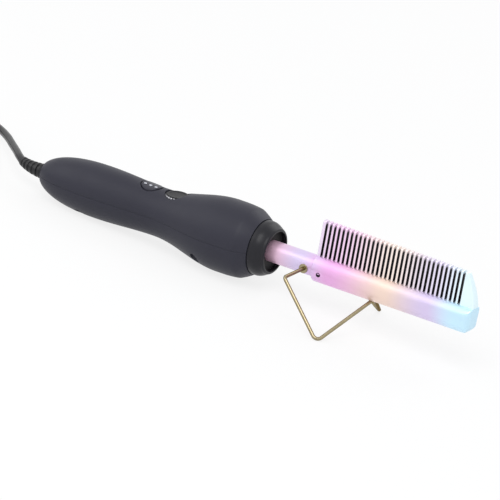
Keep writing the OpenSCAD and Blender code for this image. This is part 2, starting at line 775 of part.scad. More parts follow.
module switch_plunger() {
    foot_z = board_top + 1 + button_travel + 0.3;
    color([0.8, 0.25, 0.2]) stand_up() translate([button_x, 0, foot_z])
        cylinder(h = switch_top + plunger_out - foot_z, r = plunger_r);
}

module power_button() {
    color([0.17, 0.17, 0.20]) stand_up() difference() {
        union() {
            intersection() {
                handle_form(button_proud);
                translate([button_x, 0, button_flange_z]) cylinder(h = bulb_d, r = button_d / 2);
            }
            translate([button_x, 0, button_flange_z - button_flange_t])
                cylinder(h = button_flange_t, r = button_d / 2 + button_flange_out);
            translate([button_x, 0, switch_top + plunger_out])
                cylinder(h = button_flange_z - switch_top - plunger_out, r = button_stem_r);
        }
        for (i = [-1:1]) translate([button_x + i * pip_pitch, pip_y, handle_r(button_x) - pip_depth])
            cylinder(h = bulb_d, r = pip_r + fix_fit);
    }
}

module light_pips() {
    color([0.95, 0.97, 1]) stand_up() intersection() {
        handle_form(button_proud + 0.05);
        for (i = [-1:1])
            translate([button_x + i * pip_pitch, pip_y, handle_r(button_x) - pip_depth])
                cylinder(h = bulb_d, r = pip_r);
    }
}

module dial_potentiometer() {
    color([0.2, 0.3, 0.6]) stand_up() difference() {
        block(dial_x, 0, board_top, [pot_w, pot_w, pot_h]);
        translate([dial_x, 0, board_top + 1.4]) cylinder(h = pot_h, r = dial_shaft_r + run_fit);
    }
}

module dial_shaft() {
    shaft_z = board_top + 1.7;
    color("silver") stand_up() translate([dial_x, 0, shaft_z])
        cylinder(h = dial_top - dial_t + dial_bore_depth - shaft_z, r = dial_shaft_r);
}

// A knurled disc with a pointer mark cut in its top.
module temperature_dial() {
    color([0.06, 0.06, 0.07]) stand_up() translate([dial_x, 0, dial_top - dial_t]) difference() {
        union() {
            cylinder(h = dial_t - 0.6, r = dial_d / 2);
            translate([0, 0, dial_t - 0.6]) cylinder(h = 0.6, r = dial_d / 2 - 0.7);
        }
        translate([0, 0, -past]) cylinder(h = dial_bore_depth + past + seat, r = dial_shaft_r + fix_fit);
        for (i = [0:dial_grooves - 1]) rotate([0, 0, (i + 0.5) * 360 / dial_grooves])
            translate([dial_d / 2 + 0.1, 0, -past]) cylinder(h = dial_t + 2 * past, r = groove_r, $fn = 24);
        translate([-dial_d / 2 + 1.2, -0.4, dial_t - 0.5]) cube([4, 0.8, past]);
    }
}

module pivot_bushes() {
    color("goldenrod") stand_up() for (side = [0, 1]) mirror([0, side, 0]) difference() {
        union() {
            along_y([pivot_x, bush_seat_y - bush_in, pivot_z], bush_in + fix_fit, bush_body_r);
            along_y([pivot_x, bush_seat_y + fix_fit, pivot_z], bush_flange_t, bush_flange_r);
        }
        along_y([pivot_x, 0, pivot_z], shank_d, journal_r + run_fit);
    }
}

// The stand's wire: a round tube with a round bend at each corner, and at each end a
// thinner journal that turns in its bush.
function arc_at(i) =
    let (a = wire_path[i - 1], b = wire_path[i], c = wire_path[i + 1], r = wire_bends[i],
         n = bend_normal(a, b, c), e = bend_start(a, b, c, r), f = cross(n, e),
         o = bend_centre(a, b, c, r), all = turn(a, b, c), steps = ceil(all / 12))
    [for (k = [0:steps]) o + r * (cos(all * k / steps) * e + sin(all * k / steps) * f)];
module stand_wire() {
    last = len(wire_path) - 1;
    color("darkgoldenrod") stand_up() {
        tube_along(concat([wire_path[0]], [for (i = [1:last - 1]) each arc_at(i)],
                          [wire_path[last]]), wire_r, 12);
        for (side = [0, 1]) mirror([0, side, 0])
            along_y([pivot_x, journal_end_y, pivot_z], wire_start_y - journal_end_y + past, journal_r);
    }
}

// The collar turns in the tail's end wall, held by the flange behind the wall.
module swivel_collar() {
    base_r = relief_base_d / 2;
    start_x = tail_x - tail_gap;
    color([0.12, 0.12, 0.13]) stand_up() turned([
        [start_x - collar_l, 0], [start_x - collar_l, base_r - collar_round],
        [start_x - collar_l + collar_round, base_r], [start_x - collar_round, base_r],
        [start_x, base_r - collar_round], [start_x, relief_neck_r], [flange_x, relief_neck_r],
        [flange_x, swivel_flange_r], [spindle_x, swivel_flange_r], [spindle_x, 0]]);
}

module strain_relief() {
    color([0.12, 0.12, 0.13]) stand_up() tube_through(relief_rings);
}

module swivel_spindle() {
    color([0.85, 0.85, 0.8]) stand_up() along_x(spindle_x, spindle_l, spindle_r);
}

module slip_rings() {
    color("gold") stand_up() for (x = slip_ring_xs) difference() {
        along_x(x, slip_ring_w, slip_ring_r);
        along_x(x - past, slip_ring_w + 2 * past, spindle_r + 0.03);
    }
}

module brush_holder() {
    wall_x = holder_x + holder_l - holder_wall;
    color("tan") stand_up() difference() {
        union() {
            block(holder_x + holder_l / 2, 0, holder_z, [holder_l, holder_w, holder_floor]);
            block(wall_x + holder_wall / 2, 0, holder_z, [holder_wall, holder_w, 9.5]);
        }
        for (side = [-1, 1]) translate([0, side * lead_y, lead_z])
            along_x(wall_x - past, holder_wall + 2 * past, lead_r + fix_fit);
    }
}

module brush_contacts() {
    base_z = holder_z + holder_floor;
    color("peru") stand_up() for (x = slip_ring_xs)
        block(x + slip_ring_w / 2, 0, base_z, [2, 3, -slip_ring_r - 0.15 - base_z]);
}

module supply_leads() {
    start_x = holder_x + holder_l - holder_wall;
    color("steelblue") stand_up() for (side = [-1, 1]) translate([0, side * lead_y, lead_z])
        along_x(start_x, board_back_x + 3 - start_x, lead_r);
}

// A round tube through rings of points. Each ring stands square to the path there and
// is turned as little as possible from world up.
function way_at(p, i) = unit(p[min(i + 1, len(p) - 1)] - p[max(i - 1, 0)]);
function ring(place, way, radius, sides) =
    let (side = unit(cross([0, 0, 1], way)), top = cross(way, side))
    [for (k = [0:sides - 1]) let (a = 360 * (k + 0.5) / sides)
        place + radius * (cos(a) * side + sin(a) * top)];
module tube_along(p, radius, sides) {
    tube_through([for (i = [0:len(p) - 1]) ring(p[i], way_at(p, i), radius, sides)]);
}
module tube_through(rings) {
    n = len(rings);
    m = len(rings[0]);
    polyhedron(
        points = [for (r = rings) each r],
        faces = concat(
            [[for (k = [0:m - 1]) k]],
            [for (i = [0:n - 2], k = [0:m - 1]) let (a = i * m + k, b = i * m + (k + 1) % m)
                each [[a, a + m, b + m], [a, b + m, b]]],
            [[for (k = [m - 1:-1:0]) (n - 1) * m + k]]));
}

module cord_run() {
    color([0.1, 0.1, 0.1]) tube_along(concat([exit, straight_out], run_route), cord_r, cord_sides);
}

module cord_tail() {
    color([0.1, 0.1, 0.1]) tube_along(concat(tail_route, [tail_end]), cord_r, cord_sides);
}

module cord_coil() {
    coil_h = coil_rows * cord_d;
    round_r = cord_r;
    color([0.1, 0.1, 0.1]) translate([coil_centre[0], coil_centre[1], 0]) difference() {
        rotate_extrude() polygon(concat(
            [[coil_inner_r + round_r, 0], [coil_outer_r - round_r, 0]],
            [for (a = [-45:45:0]) [coil_outer_r - round_r + round_r * cos(a), round_r + round_r * sin(a)]],
            [for (a = [0:45:90]) [coil_outer_r - round_r + round_r * cos(a),
                coil_h - round_r + round_r * sin(a)]],
            [for (a = [90:45:180]) [coil_inner_r + round_r + round_r * cos(a),
                coil_h - round_r + round_r * sin(a)]],
            [for (a = [180:45:225]) [coil_inner_r + round_r + round_r * cos(a),
                round_r + round_r * sin(a)]]));
        rotate([0, 0, tie_angle]) translate([0, -tie_w / 2 - tie_gap, -past]) {
            cube([coil_outer_r + past, tie_w + 2 * tie_gap, past + tie_t + tie_gap]);
            cube([coil_inner_r, tie_w + 2 * tie_gap, coil_h + 2 * past]);
        }
    }
}

module cord_tie() {
    coil_h = coil_rows * cord_d;
    color([0.15, 0.15, 0.15]) translate([coil_centre[0], coil_centre[1], 0])
        rotate([0, 0, tie_angle]) translate([0, -tie_w / 2, 0]) difference() {
            translate([coil_inner_r - tie_gap - tie_t, 0, 0])
                cube([coil_outer_r - coil_inner_r + 2 * (tie_gap + tie_t), tie_w,
                      coil_h + tie_gap + tie_t]);
            translate([coil_inner_r - tie_gap, -past, tie_t])
                cube([coil_outer_r - coil_inner_r + 2 * tie_gap, tie_w + 2 * past,
                      coil_h + tie_gap - tie_t]);
        }
}

module plug_body() {
    body_x = plug_x + plug_l / 2;
    color([0.12, 0.12, 0.13]) difference() {
        union() {
            translate([body_x, plug_y, 0]) round_plate(plug_l, plug_w, plug_h, plug_corner);
            translate([plug_x - plug_relief_l, plug_y, plug_z]) rotate([0, 90, 0])
                cylinder(h = plug_relief_l + past, r1 = cord_r + 0.8, r2 = plug_relief_r);
        }
        for (side = [-1, 1])
            translate([plug_x + plug_l - pin_root_l, plug_y + side * pin_spacing / 2, plug_z])
                rotate([0, 90, 0]) cylinder(h = pin_root_l + past, r = pin_root_r + fix_fit);
    }
}

module plug_pins() {
    color("silver") for (side = [-1, 1])
        translate([plug_x + plug_l, plug_y + side * pin_spacing / 2, plug_z]) rotate([0, 90, 0]) {
            translate([0, 0, seat - pin_root_l]) cylinder(h = pin_root_l + past, r = pin_root_r);
            translate([0, 0, pin_gap]) cylinder(h = pin_l, r = pin_d / 2);
        }
}

upper_shell();
lower_shell();
shell_screws();
front_ring();
insulator_bush();
tube_flange();
shank_tube();
comb_spine();
comb_teeth();
comb_screw();
heater_rod();
heater_terminal();
heater_leads();
thermal_fuse();
heat_sensor();
circuit_board();
board_screws();
board_components();
indicator_leds();
switch_body();
switch_plunger();
power_button();
light_pips();
dial_potentiometer();
dial_shaft();
temperature_dial();
pivot_bushes();
stand_wire();
swivel_collar();
strain_relief();
swivel_spindle();
slip_rings();
brush_holder();
brush_contacts();
supply_leads();
cord_run();
cord_coil();
cord_tail();
cord_tie();
plug_body();
plug_pins();
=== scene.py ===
"""A corded heated comb on its folding wire stand, with its camera, light and floor."""

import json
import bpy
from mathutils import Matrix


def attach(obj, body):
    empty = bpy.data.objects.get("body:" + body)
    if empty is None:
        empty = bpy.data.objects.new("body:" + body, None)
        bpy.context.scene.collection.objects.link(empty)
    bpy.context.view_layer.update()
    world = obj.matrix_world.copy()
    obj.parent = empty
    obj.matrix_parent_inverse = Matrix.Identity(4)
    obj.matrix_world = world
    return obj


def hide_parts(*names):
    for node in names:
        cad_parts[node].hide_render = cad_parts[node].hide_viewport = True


bl_info = {
    "name": "Heated Comb",
    "version": (1, 0, 0),
    "blender": (4, 5, 0),
    "location": "View3D > Sidebar > Heated Comb",
    "description": "Builds a heated comb with its handle, wire stand, cord and plug",
    "category": "Object",
}

import bmesh
import bpy
import numpy as np
from bpy.props import (FloatProperty, FloatVectorProperty, IntProperty,
                       PointerProperty)
from mathutils import Matrix

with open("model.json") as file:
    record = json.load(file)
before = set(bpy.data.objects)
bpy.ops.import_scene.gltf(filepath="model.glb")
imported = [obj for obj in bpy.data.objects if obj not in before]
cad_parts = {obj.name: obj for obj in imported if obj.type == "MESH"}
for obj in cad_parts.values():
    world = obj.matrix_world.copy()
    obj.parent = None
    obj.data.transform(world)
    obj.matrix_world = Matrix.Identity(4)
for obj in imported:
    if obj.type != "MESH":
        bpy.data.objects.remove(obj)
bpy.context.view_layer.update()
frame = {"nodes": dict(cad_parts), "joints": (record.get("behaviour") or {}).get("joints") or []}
MM = 0.001

# The comb leans on the table. Its own X runs from the tail to the tip, along the
# swivel's axis, and its own Y is the table's Y.
JOINTS = {j["name"]: j for j in frame["joints"]}
LEAN = np.array(JOINTS["cord_turn"]["axis"], float)
COMB_AXES = np.array([LEAN, [0, 1, 0], [-LEAN[2], 0, LEAN[0]]])
PIVOT_AT = np.array(JOINTS["stand_fold"]["pos_m"], float)
PIVOT = np.array([1.1, 0.0, -1.4]) * MM
COMB_AT = PIVOT_AT - PIVOT @ COMB_AXES


def length(name, description, mm):
    """A length that a user may set, with its default in millimetres."""
    return FloatProperty(name=name, description=description, default=mm * MM, min=0.0,
                         unit="LENGTH", precision=5)


def colour(name, description, r, g, b):
    """A colour that a user may set, as scene-linear red, green and blue."""
    return FloatVectorProperty(name=name, description=description, default=(r, g, b),
                               subtype="COLOR", size=3, min=0.0, max=1.0)


# ---------------------------------------------------------------- sizes and colours

class HandleSizes(bpy.types.PropertyGroup):
    """Sizes of the handle and its front ring."""
    grip_d: length("Grip", "Largest diameter of the grip", 32)
    neck_d: length("Waist", "Diameter of the waist", 28.8)
    bulb_d: length("Bulb", "Largest diameter of the bulb", 43.8)
    wall: length("Wall", "Thickness of the moulded wall", 2.2)
    parting: length("Parting line", "Half the width of the line between the shells", 0.06)
    parting_depth: length("Parting depth", "Depth of the line between the shells", 0.16)
    rim_d: length("Rim", "Outer diameter of the front ring's rim", 28)
    mouth_d: length("Mouth", "Diameter of the open mouth around the shank", 25.2)


class ControlSizes(bpy.types.PropertyGroup):
    """Sizes of the button and the dial."""
    button_d: length("Button", "Diameter of the power button", 12.4)
    button_gap: length("Button groove", "Width of the groove around the button", 0.8)
    button_dish: length("Button dish", "Depth of the dish in the button's top", 0.25)
    pip_d: length("Pip", "Diameter of each light pip", 1.8)
    dial_d: length("Dial", "Diameter of the temperature dial", 14.6)
    knurl_depth: length("Knurl depth", "Depth of the dial's grooves", 0.42)
    knurls: IntProperty(name="Knurls", description="Number of grooves around the dial",
                        default=24, min=8, max=48)


class HeadSizes(bpy.types.PropertyGroup):
    """Sizes of the shank, the comb bar and its teeth."""
    shank_d: length("Shank", "Diameter of the shank", 12.8)
    bar_d: length("Bar", "Diameter of the comb bar", 17)
    edge: length("Edge", "Rounding of the bar's edges", 0.45)
    tooth_l: length("Tooth", "Height of the first tooth", 21.2)
    tooth_fall: length("Tooth fall", "How far the teeth's tops fall to the tip", 1.8)
    root_w: length("Root", "Thickness of a tooth at its root", 6.6)
    tip_w: length("Top", "Thickness of a tooth at its top", 4.1)
    pitch: length("Pitch", "Distance from one tooth to the next", 2.83)
    gap: length("Gap", "Width of the gap between two teeth", 1.4)
    gaps: IntProperty(name="Gaps", description="Number of gaps", default=33, min=4, max=60)


class StandSizes(bpy.types.PropertyGroup):
    """Sizes of the wire stand."""
    wire_d: length("Wire", "Diameter of the wire", 2.1)
    corner_w: length("Corners", "Width between the corners at the pivot", 55.6)
    foot_w: length("Feet", "Width between the feet", 73.2)
    foot_ahead: length("Foot ahead", "Distance from the pivot forward to the feet", 31)
    foot_drop: length("Foot drop", "Distance from the pivot down to the feet", 27.2)
    bridge_ahead: length("Bridge ahead", "Distance from the pivot to the bridge", 44)
    bridge_w: length("Bridge", "Length of the bridge", 5.4)


class CordSizes(bpy.types.PropertyGroup):
    """Sizes of the cord, its strain relief and its plug."""
    cord_d: length("Cord", "Diameter of the cord", 4.8)
    relief_l: length("Relief", "Length of the strain relief behind the tail", 21)
    relief_d: length("Relief base", "Diameter of the strain relief at the tail", 9.6)
    ribs: IntProperty(name="Ribs", description="Number of ribs", default=5, min=3, max=9)
    plug_l: length("Plug", "Length of the plug's body", 30)
    plug_w: length("Plug width", "Width of the plug's body", 26)
    plug_h: length("Plug height", "Height of the plug's body", 14)


class Colours(bpy.types.PropertyGroup):
    """Colours of the pieces."""
    handle: colour("Handle", "Moulded handle", 0.030, 0.030, 0.043)
    ring: colour("Front ring", "Front ring and insulator", 0.016, 0.016, 0.020)
    gloss: colour("Dial", "Dial and switch", 0.012, 0.012, 0.014)
    rubber: colour("Cord", "Cord, strain relief and plug", 0.008, 0.008, 0.010)
    brass: colour("Brass", "Wire stand and bushes", 0.34, 0.29, 0.18)
    slot: colour("Slots", "Painted shade on the teeth's facing sides, deep in the gaps", 0.012, 0.010, 0.012)
    # Painted shade: the colour below is laid on the teeth's facing sides deep in the gaps, where
    # shade falls
    steel: colour("Screw", "Small screws", 0.010, 0.009, 0.011)
    rose: colour("Rose", "Film by the handle", 0.85, 0.55, 0.7)
    orchid: colour("Orchid", "Film on the rear of the bar", 0.85, 0.45, 0.8)
    peach: colour("Peach", "Film on the middle of the bar", 0.9, 0.7, 0.6)
    lilac: colour("Lilac", "Film on the front of the bar", 0.7, 0.6, 0.85)
    ice: colour("Ice", "Film at the tip", 0.6, 0.85, 1.0)
    floor: colour("Floor", "Floor and surroundings", 0.92, 0.92, 0.92)


class StageSettings(bpy.types.PropertyGroup):
    """Light and camera."""
    lens: FloatProperty(name="Lens", description="Focal length", default=325.54, min=10,
                        max=2000, unit="CAMERA")
    key: FloatProperty(name="Key", description="Power of the key lamp", default=9.0, min=0)
    fill: FloatProperty(name="Fill", description="Power of the fill lamp", default=3.0, min=0)
    world: FloatProperty(name="World", description="Light of the surroundings",
                         default=0.62, min=0)


class CombSettings(bpy.types.PropertyGroup):
    """All settings of the heated comb."""
    handle: PointerProperty(type=HandleSizes)
    controls: PointerProperty(type=ControlSizes)
    head: PointerProperty(type=HeadSizes)
    stand: PointerProperty(type=StandSizes)
    cord: PointerProperty(type=CordSizes)
    colours: PointerProperty(type=Colours)
    stage: PointerProperty(type=StageSettings)


# Places along the comb's own X, in metres.
SPINE_X = 7 * MM
TIP_X = 110 * MM
RIM_X = -21.8 * MM
SEAM_X = -31.6 * MM
BULB_X = -53.8 * MM
NECK_X = -100 * MM
GRIP_X = -141 * MM
TAIL_X = -181.8 * MM
BUTTON_X = -109 * MM
DIAL_X = -91 * MM
BUSH_BACK_X = -30.3 * MM
TEETH_L = 103 * MM

# Sizes of the handle that no setting changes.
TAIL_FULLNESS = 2.3
TAIL_SPARE = 3 * MM
TAIL_WALL = 4 * MM
TAIL_BORE_R = 4.1 * MM
SHOULDER_L = 7.5 * MM
SHOULDER_FALL = 0.3
BULB_FALL = 0.00026 * MM
SPIGOT_R = 14.205 * MM
SPIGOT_L = 5 * MM
BUSH_R = 12.7 * MM
TUBE_BORE_R = 10.2 * MM
BUTTON_BORE_R = 6.35 * MM
BUTTON_LEDGE = 1 * MM
BUTTON_PROUD = 0.3 * MM
DIAL_POCKET_R = 9.05 * MM
DIAL_FLOOR_Z = 9.28 * MM
DIAL_FLOOR_T = 1.6 * MM
SHAFT_BORE_R = 3.06 * MM
SCREW_WELL_R, SCREW_HOLE_R = 2.8 * MM, 1.3 * MM
SCREW_SEAT_Z, SCREW_END_Z = 5 * MM, 4 * MM
SCREWS_AT = [(x * MM, y * MM) for x, y in ((-151, -7.6), (-151, 7.6), (-65.8, -14.5),
                                           (-65.8, 14.5))]

# Where the inner face's last even row may lie, and where that face ends.
INNER_LAST_X, INNER_END_X = SEAM_X - 2.4 * MM, SEAM_X - 2.2 * MM

# Sizes of the button, its pips and the dial that no setting changes.
PIP_PITCH, PIP_ASIDE, PIP_DOME = 3.7 * MM, -1.5 * MM, 0.2 * MM
PIP_ANGLE = 1.2
DIAL_GAP = 0.35 * MM
DIAL_TOP_Z, DIAL_LOW_Z = 14.08 * MM, 9.58 * MM

# Sizes of the comb bar and its teeth that no setting changes.
LAND = 0.4 * MM
TIP_L = 6 * MM
TIP_ROUND = 4 * MM
TIP_ROUND_END = 3.98 * MM
FIRST_GAP = 2.7 * MM
ROOT_SUNK = 0.05 * MM
SHANK_BORE_R, HEATER_BORE_R = 5.04 * MM, 3.3 * MM
SHANK_BORE_END, HEATER_BORE_END = 16.7 * MM, 88.5 * MM


def handle_radius(x, s):
    """Radius of the handle at each x: a fuller ellipse at the tail, half cosine waves
    from the grip to the waist and on to the bulb, then a cubic and a shoulder."""
    x = np.asarray(x, float)

    def wave(a, b, t):
        """Half a cosine wave from a at t = 0 to b at t = 1."""
        return a + (b - a) * (1 - np.cos(np.pi * np.clip(t, 0, 1))) / 2

    t = np.clip((GRIP_X - x) / (GRIP_X - TAIL_X + TAIL_SPARE), 0, 1)
    tail = s.grip_d / 2 * (1 - t ** TAIL_FULLNESS) ** (1 / TAIL_FULLNESS)
    grip = wave(s.grip_d, s.neck_d, (x - GRIP_X) / (NECK_X - GRIP_X)) / 2
    waist = wave(s.neck_d, s.bulb_d, (x - NECK_X) / (BULB_X - NECK_X)) / 2
    ahead = np.maximum(x - BULB_X, 0) / MM
    shoulder = np.maximum(x - (SEAM_X - SHOULDER_L), 0)
    bulb = s.bulb_d / 2 - BULB_FALL * ahead ** 3 - SHOULDER_FALL * shoulder
    return np.where(x < GRIP_X, tail, np.where(x < NECK_X, grip,
                    np.where(x < BULB_X, waist, bulb)))


# ---------------------------------------------------------------- surfaces

# Distances in metres: points that are merged, and edges that are dissolved.
SAME_POINT, NO_EDGE = 2e-7, 1e-8


def on_table(points):
    """Points given in the comb's own axes, placed in the table's frame."""
    return np.asarray(points, float) @ COMB_AXES + COMB_AT


def grid_faces(rows, cols, close_rows=False, close_cols=False, start=0):
    """Quads of a grid of rows times cols points, closed in one or both ways."""
    i = np.arange(rows if close_rows else rows - 1)[:, None]
    j = np.arange(cols if close_cols else cols - 1)[None, :]
    i2, j2 = (i + 1) % rows, (j + 1) % cols
    quads = np.stack(np.broadcast_arrays(i * cols + j, i * cols + j2, i2 * cols + j2,
                                         i2 * cols + j), -1)
    return quads.reshape(-1, 4) + start


def angles_round(steps):
    """Even angles once round, from 0."""
    return np.arange(steps) * 2 * np.pi / steps


def grid_points(x, y, z):
    """Points whose coordinates are numbers or arrays, repeated to one shape."""
    return np.stack(np.broadcast_arrays(x, y, z), -1)


def piece(name, parts, body, finish, replaces=(), sharp=35.0):
    """A mesh piece from parts, each a pair of points and faces, in a material or a
    named finish. Doubles are merged, faces turned outwards, and edges sharper than a
    limit kept crisp."""
    points, faces, count = [], [], 0
    for p, f in parts:
        p = np.asarray(p, float).reshape(-1, 3)
        points.append(p)
        faces += [[int(i) + count for i in face] for face in f]
        count += len(p)
    mesh = bpy.data.meshes.new(name)
    mesh.from_pydata(np.concatenate(points).tolist(), [], faces)
    bm = bmesh.new()
    bm.from_mesh(mesh)
    bmesh.ops.remove_doubles(bm, verts=bm.verts, dist=SAME_POINT)
    bmesh.ops.dissolve_degenerate(bm, edges=bm.edges, dist=NO_EDGE)
    bmesh.ops.recalc_face_normals(bm, faces=bm.faces)
    bm.to_mesh(mesh)
    bm.free()
    mesh.polygons.foreach_set("use_smooth", np.ones(len(mesh.polygons), bool))
    mesh.set_sharp_from_angle(angle=np.radians(sharp))
    mesh.materials.append(named_finish(finish) if isinstance(finish, str) else finish)
    obj = bpy.data.objects.new(name, mesh)
    bpy.context.scene.collection.objects.link(obj)
    if body:
        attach(obj, body)
    if replaces:
        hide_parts(*replaces)
    return obj


def comb_piece(name, parts, body, finish, node, sharp=35.0):
    """A piece that stands for one solid, from parts given in the comb's own axes."""
    piece(name, [(on_table(p), f) for p, f in parts], body, finish, (node,), sharp=sharp)


def turned(profile, steps, at=(0, 0, 0), axis=(1, 0, 0), side=(0, 0, 1), close=True):
    """A profile of (distance along the axis, radius) points turned round an axis
    through a place; side is a direction square to the axis."""
    profile, axis, side = (np.asarray(v, float) for v in (profile, axis, side))
    a = angles_round(steps)
    round_ = np.outer(np.cos(a), side) + np.outer(np.sin(a), np.cross(axis, side))
    points = (np.asarray(at, float) + profile[:, None, :1] * axis
              + profile[:, None, 1:2] * round_[None])
    return points.reshape(-1, 3), grid_faces(len(profile), steps, close, True)


def rounded(corners, radius, steps=6, close=True):
    """A 2D outline with each corner replaced by a round of the given radius, worked
    out as a quadratic curve between two points that lie on the corner's sides."""
    c = np.asarray(corners, float)
    before, after = np.roll(c, 1, 0), np.roll(c, -1, 0)
    r = np.broadcast_to(np.asarray(radius, float), (len(c),)).copy()
    if not close:
        r[[0, -1]] = 0
        before[0], after[-1] = c[0], c[-1]

    def towards(other):
        """The point on a corner's side at which its round ends."""
        d = other - c
        n = np.maximum(np.linalg.norm(d, axis=1), 1e-12)
        return c + d * (np.minimum(r, 0.49 * n) / n)[:, None]

    a, b = towards(before)[:, None], towards(after)[:, None]
    t = np.linspace(0, 1, steps + 1)[None, :, None]
    curve = (1 - t) ** 2 * a + 2 * t * (1 - t) * c[:, None] + t ** 2 * b
    return np.concatenate([curve[i] if r[i] > 0 else c[i:i + 1] for i in range(len(c))])


def directions(path):
    """The way along a path at each of its points."""
    d = np.gradient(path, axis=0)
    return d / np.linalg.norm(d, axis=1)[:, None]


def swept(path, radius, sides, up=(0, 0, 1)):
    """A round tube along a path, with one radius or one for each point. Each ring is
    square to the path, and starts from a fixed upward direction."""
    path, way = np.asarray(path, float), directions(np.asarray(path, float))
    side = np.cross(np.asarray(up, float), way)
    side /= np.linalg.norm(side, axis=1)[:, None]
    top = np.cross(way, side)
    a = angles_round(sides)
    r = np.broadcast_to(np.asarray(radius, float), (len(path),))[:, None, None]
    ring = np.cos(a)[None, :, None] * side[:, None] + np.sin(a)[None, :, None] * top[:, None]
    return capped(path[:, None] + r * ring)


def smooth_path(points, step, between=24):
    """A path through the points by Hermite cubics, whose slopes are weighted by the
    distances to both neighbours. Each cubic is worked out at a number of places
    between two points, and the whole is resampled to even steps of length."""
    p = np.asarray(points, float)
    d = np.linalg.norm(np.diff(p, axis=0), axis=1)
    m = np.empty_like(p)
    m[1:-1] = ((p[1:-1] - p[:-2]) / d[:-1, None] * d[1:, None]
               + (p[2:] - p[1:-1]) / d[1:, None] * d[:-1, None]) / (d[:-1] + d[1:])[:, None]
    m[0], m[-1] = (p[1] - p[0]) / d[0], (p[-1] - p[-2]) / d[-1]
    t = np.linspace(0, 1, between, endpoint=False)[None, :, None]
    a, b = p[:-1, None], p[1:, None]
    ma, mb = (m[k, None] * d[:, None, None] for k in (slice(0, -1), slice(1, None)))
    fine = ((2 * t ** 3 - 3 * t ** 2 + 1) * a + (t ** 3 - 2 * t ** 2 + t) * ma
            + (3 * t ** 2 - 2 * t ** 3) * b + (t ** 3 - t ** 2) * mb).reshape(-1, 3)
    fine = np.vstack([fine, p[-1:]])
    s = np.concatenate([[0], np.cumsum(np.linalg.norm(np.diff(fine, axis=0), axis=1))])
    even = np.linspace(0, s[-1], int(round(s[-1] / step)) + 1)
    return np.stack([np.interp(even, s, fine[:, k]) for k in range(3)], 1)


def bent(points, radii, step=8.0):
    """A path of straight runs with a round bend of its own radius at each inner point;
    step is the angle between two points of a bend, in degrees."""
    p = np.asarray(points, float)
    out = [p[:1]]
    for a, b, c, r in zip(p[:-2], p[1:-1], p[2:], radii):
        u, v = (a - b) / np.linalg.norm(a - b), (c - b) / np.linalg.norm(c - b)
        half = np.arccos(np.clip(u @ v, -1, 1)) / 2
        centre = b + (u + v) / np.linalg.norm(u + v) * r / np.sin(half)
        e1, e2 = b + u * r / np.tan(half) - centre, b + v * r / np.tan(half) - centre
        whole = np.pi - 2 * half
        n = max(2, int(np.degrees(whole) / step) + 1)
        t = np.linspace(0, 1, n + 1)[:, None] * whole
        out.append(centre + (np.sin(whole - t) * e1 + np.sin(t) * e2) / np.sin(whole))
    return np.concatenate(out + [p[-1:]])


def capped(rings):
    """A body from rings of points of one length, joined by quads and closed by a face
    over the first and the last."""
    n, last = len(rings[0]), (len(rings) - 1) * len(rings[0])
    faces = grid_faces(len(rings), n, False, True).tolist()
    faces += [list(range(n)), list(range(last, last + n))]
    return np.concatenate(rings), faces


def soft_clip(value, limit, edge):
    """The lower of two values, blended over a small edge so that it bends smoothly."""
    d = np.clip(0.5 + (limit - value) / (2 * edge), 0, 1)
    return limit * (1 - d) + value * d - edge * d * (1 - d)


# ---------------------------------------------------------------- shader groups

class Value:
    """A number that a shader works out. +, -, *, /, < and > of it and a number or
    another value give the value of a math node."""

    def __init__(self, tree, socket):
        """Holds a node's output and the tree that the node is in."""
        self.tree, self.socket = tree, socket

    def __add__(self, other):
        return math("ADD", self, other)

    def __sub__(self, other):
        return math("SUBTRACT", self, other)

    def __rsub__(self, other):
        return math("SUBTRACT", other, self)

    def __mul__(self, other):
        return math("MULTIPLY", self, other)

    def __truediv__(self, other):
        return math("DIVIDE", self, other)

    def __lt__(self, other):
        return math("LESS_THAN", self, other)

    def __gt__(self, other):
        return math("GREATER_THAN", self, other)


def feed(tree, socket, source):
    """Links a value or a node's output to an input, or sets it to plain numbers."""
    source = source.socket if isinstance(source, Value) else source
    if isinstance(source, bpy.types.NodeSocket):
        tree.links.new(source, socket)
    else:
        socket.default_value = source


def add(tree, kind, *inputs, **named):
    """A node in a tree, whose first inputs come in order, and whose properties and
    other inputs come by name."""
    node = tree.nodes.new(kind)
    for key, value in named.items():
        if hasattr(node, key):
            setattr(node, key, value)
        else:
            feed(tree, node.inputs[key.replace("_", " ")], value)
    for socket, value in zip(node.inputs, inputs):
        feed(tree, socket, value)
    return node


def math(operation, *values, clamp=False):
    """The value of a math node of other values and numbers."""
    tree = next(v.tree for v in values if isinstance(v, Value))
    node = add(tree, "ShaderNodeMath", *values, operation=operation, use_clamp=clamp)
    return Value(tree, node.outputs[0])


def noise_at(tree, place, scale, detail, **named):
    """The value of a noise texture at a place."""
    node = add(tree, "ShaderNodeTexNoise", Vector=place, Scale=scale, Detail=detail, **named)
    return Value(tree, node.outputs["Fac"])


def parts_of(tree, vector):
    """The three numbers of a vector."""
    return [Value(tree, o) for o in add(tree, "ShaderNodeSeparateXYZ", vector).outputs]


def ranged(tree, value, low, high, to_low=0.0, to_high=1.0):
    """Where a value lies between two others, from one given value to another."""
    node = add(tree, "ShaderNodeMapRange", value, low, high, to_low, to_high)
    return Value(tree, node.outputs[0])


def group(name, **inputs):
    """A new shader group whose inputs have these defaults, four numbers for a colour.
    Returns it, its texture coordinates and each input's value."""
    tree = bpy.data.node_groups.new(name, "ShaderNodeTree")
    for label, default in inputs.items():
        kind = "NodeSocketColor" if isinstance(default, tuple) else "NodeSocketFloat"
        socket = tree.interface.new_socket(label.replace("_", " "), in_out="INPUT",
                                           socket_type=kind)
        socket.default_value = default
    given = tree.nodes.new("NodeGroupInput").outputs
    coords = add(tree, "ShaderNodeTexCoord").outputs
    return tree, coords, *(Value(tree, given[k]) for k in range(len(inputs)))


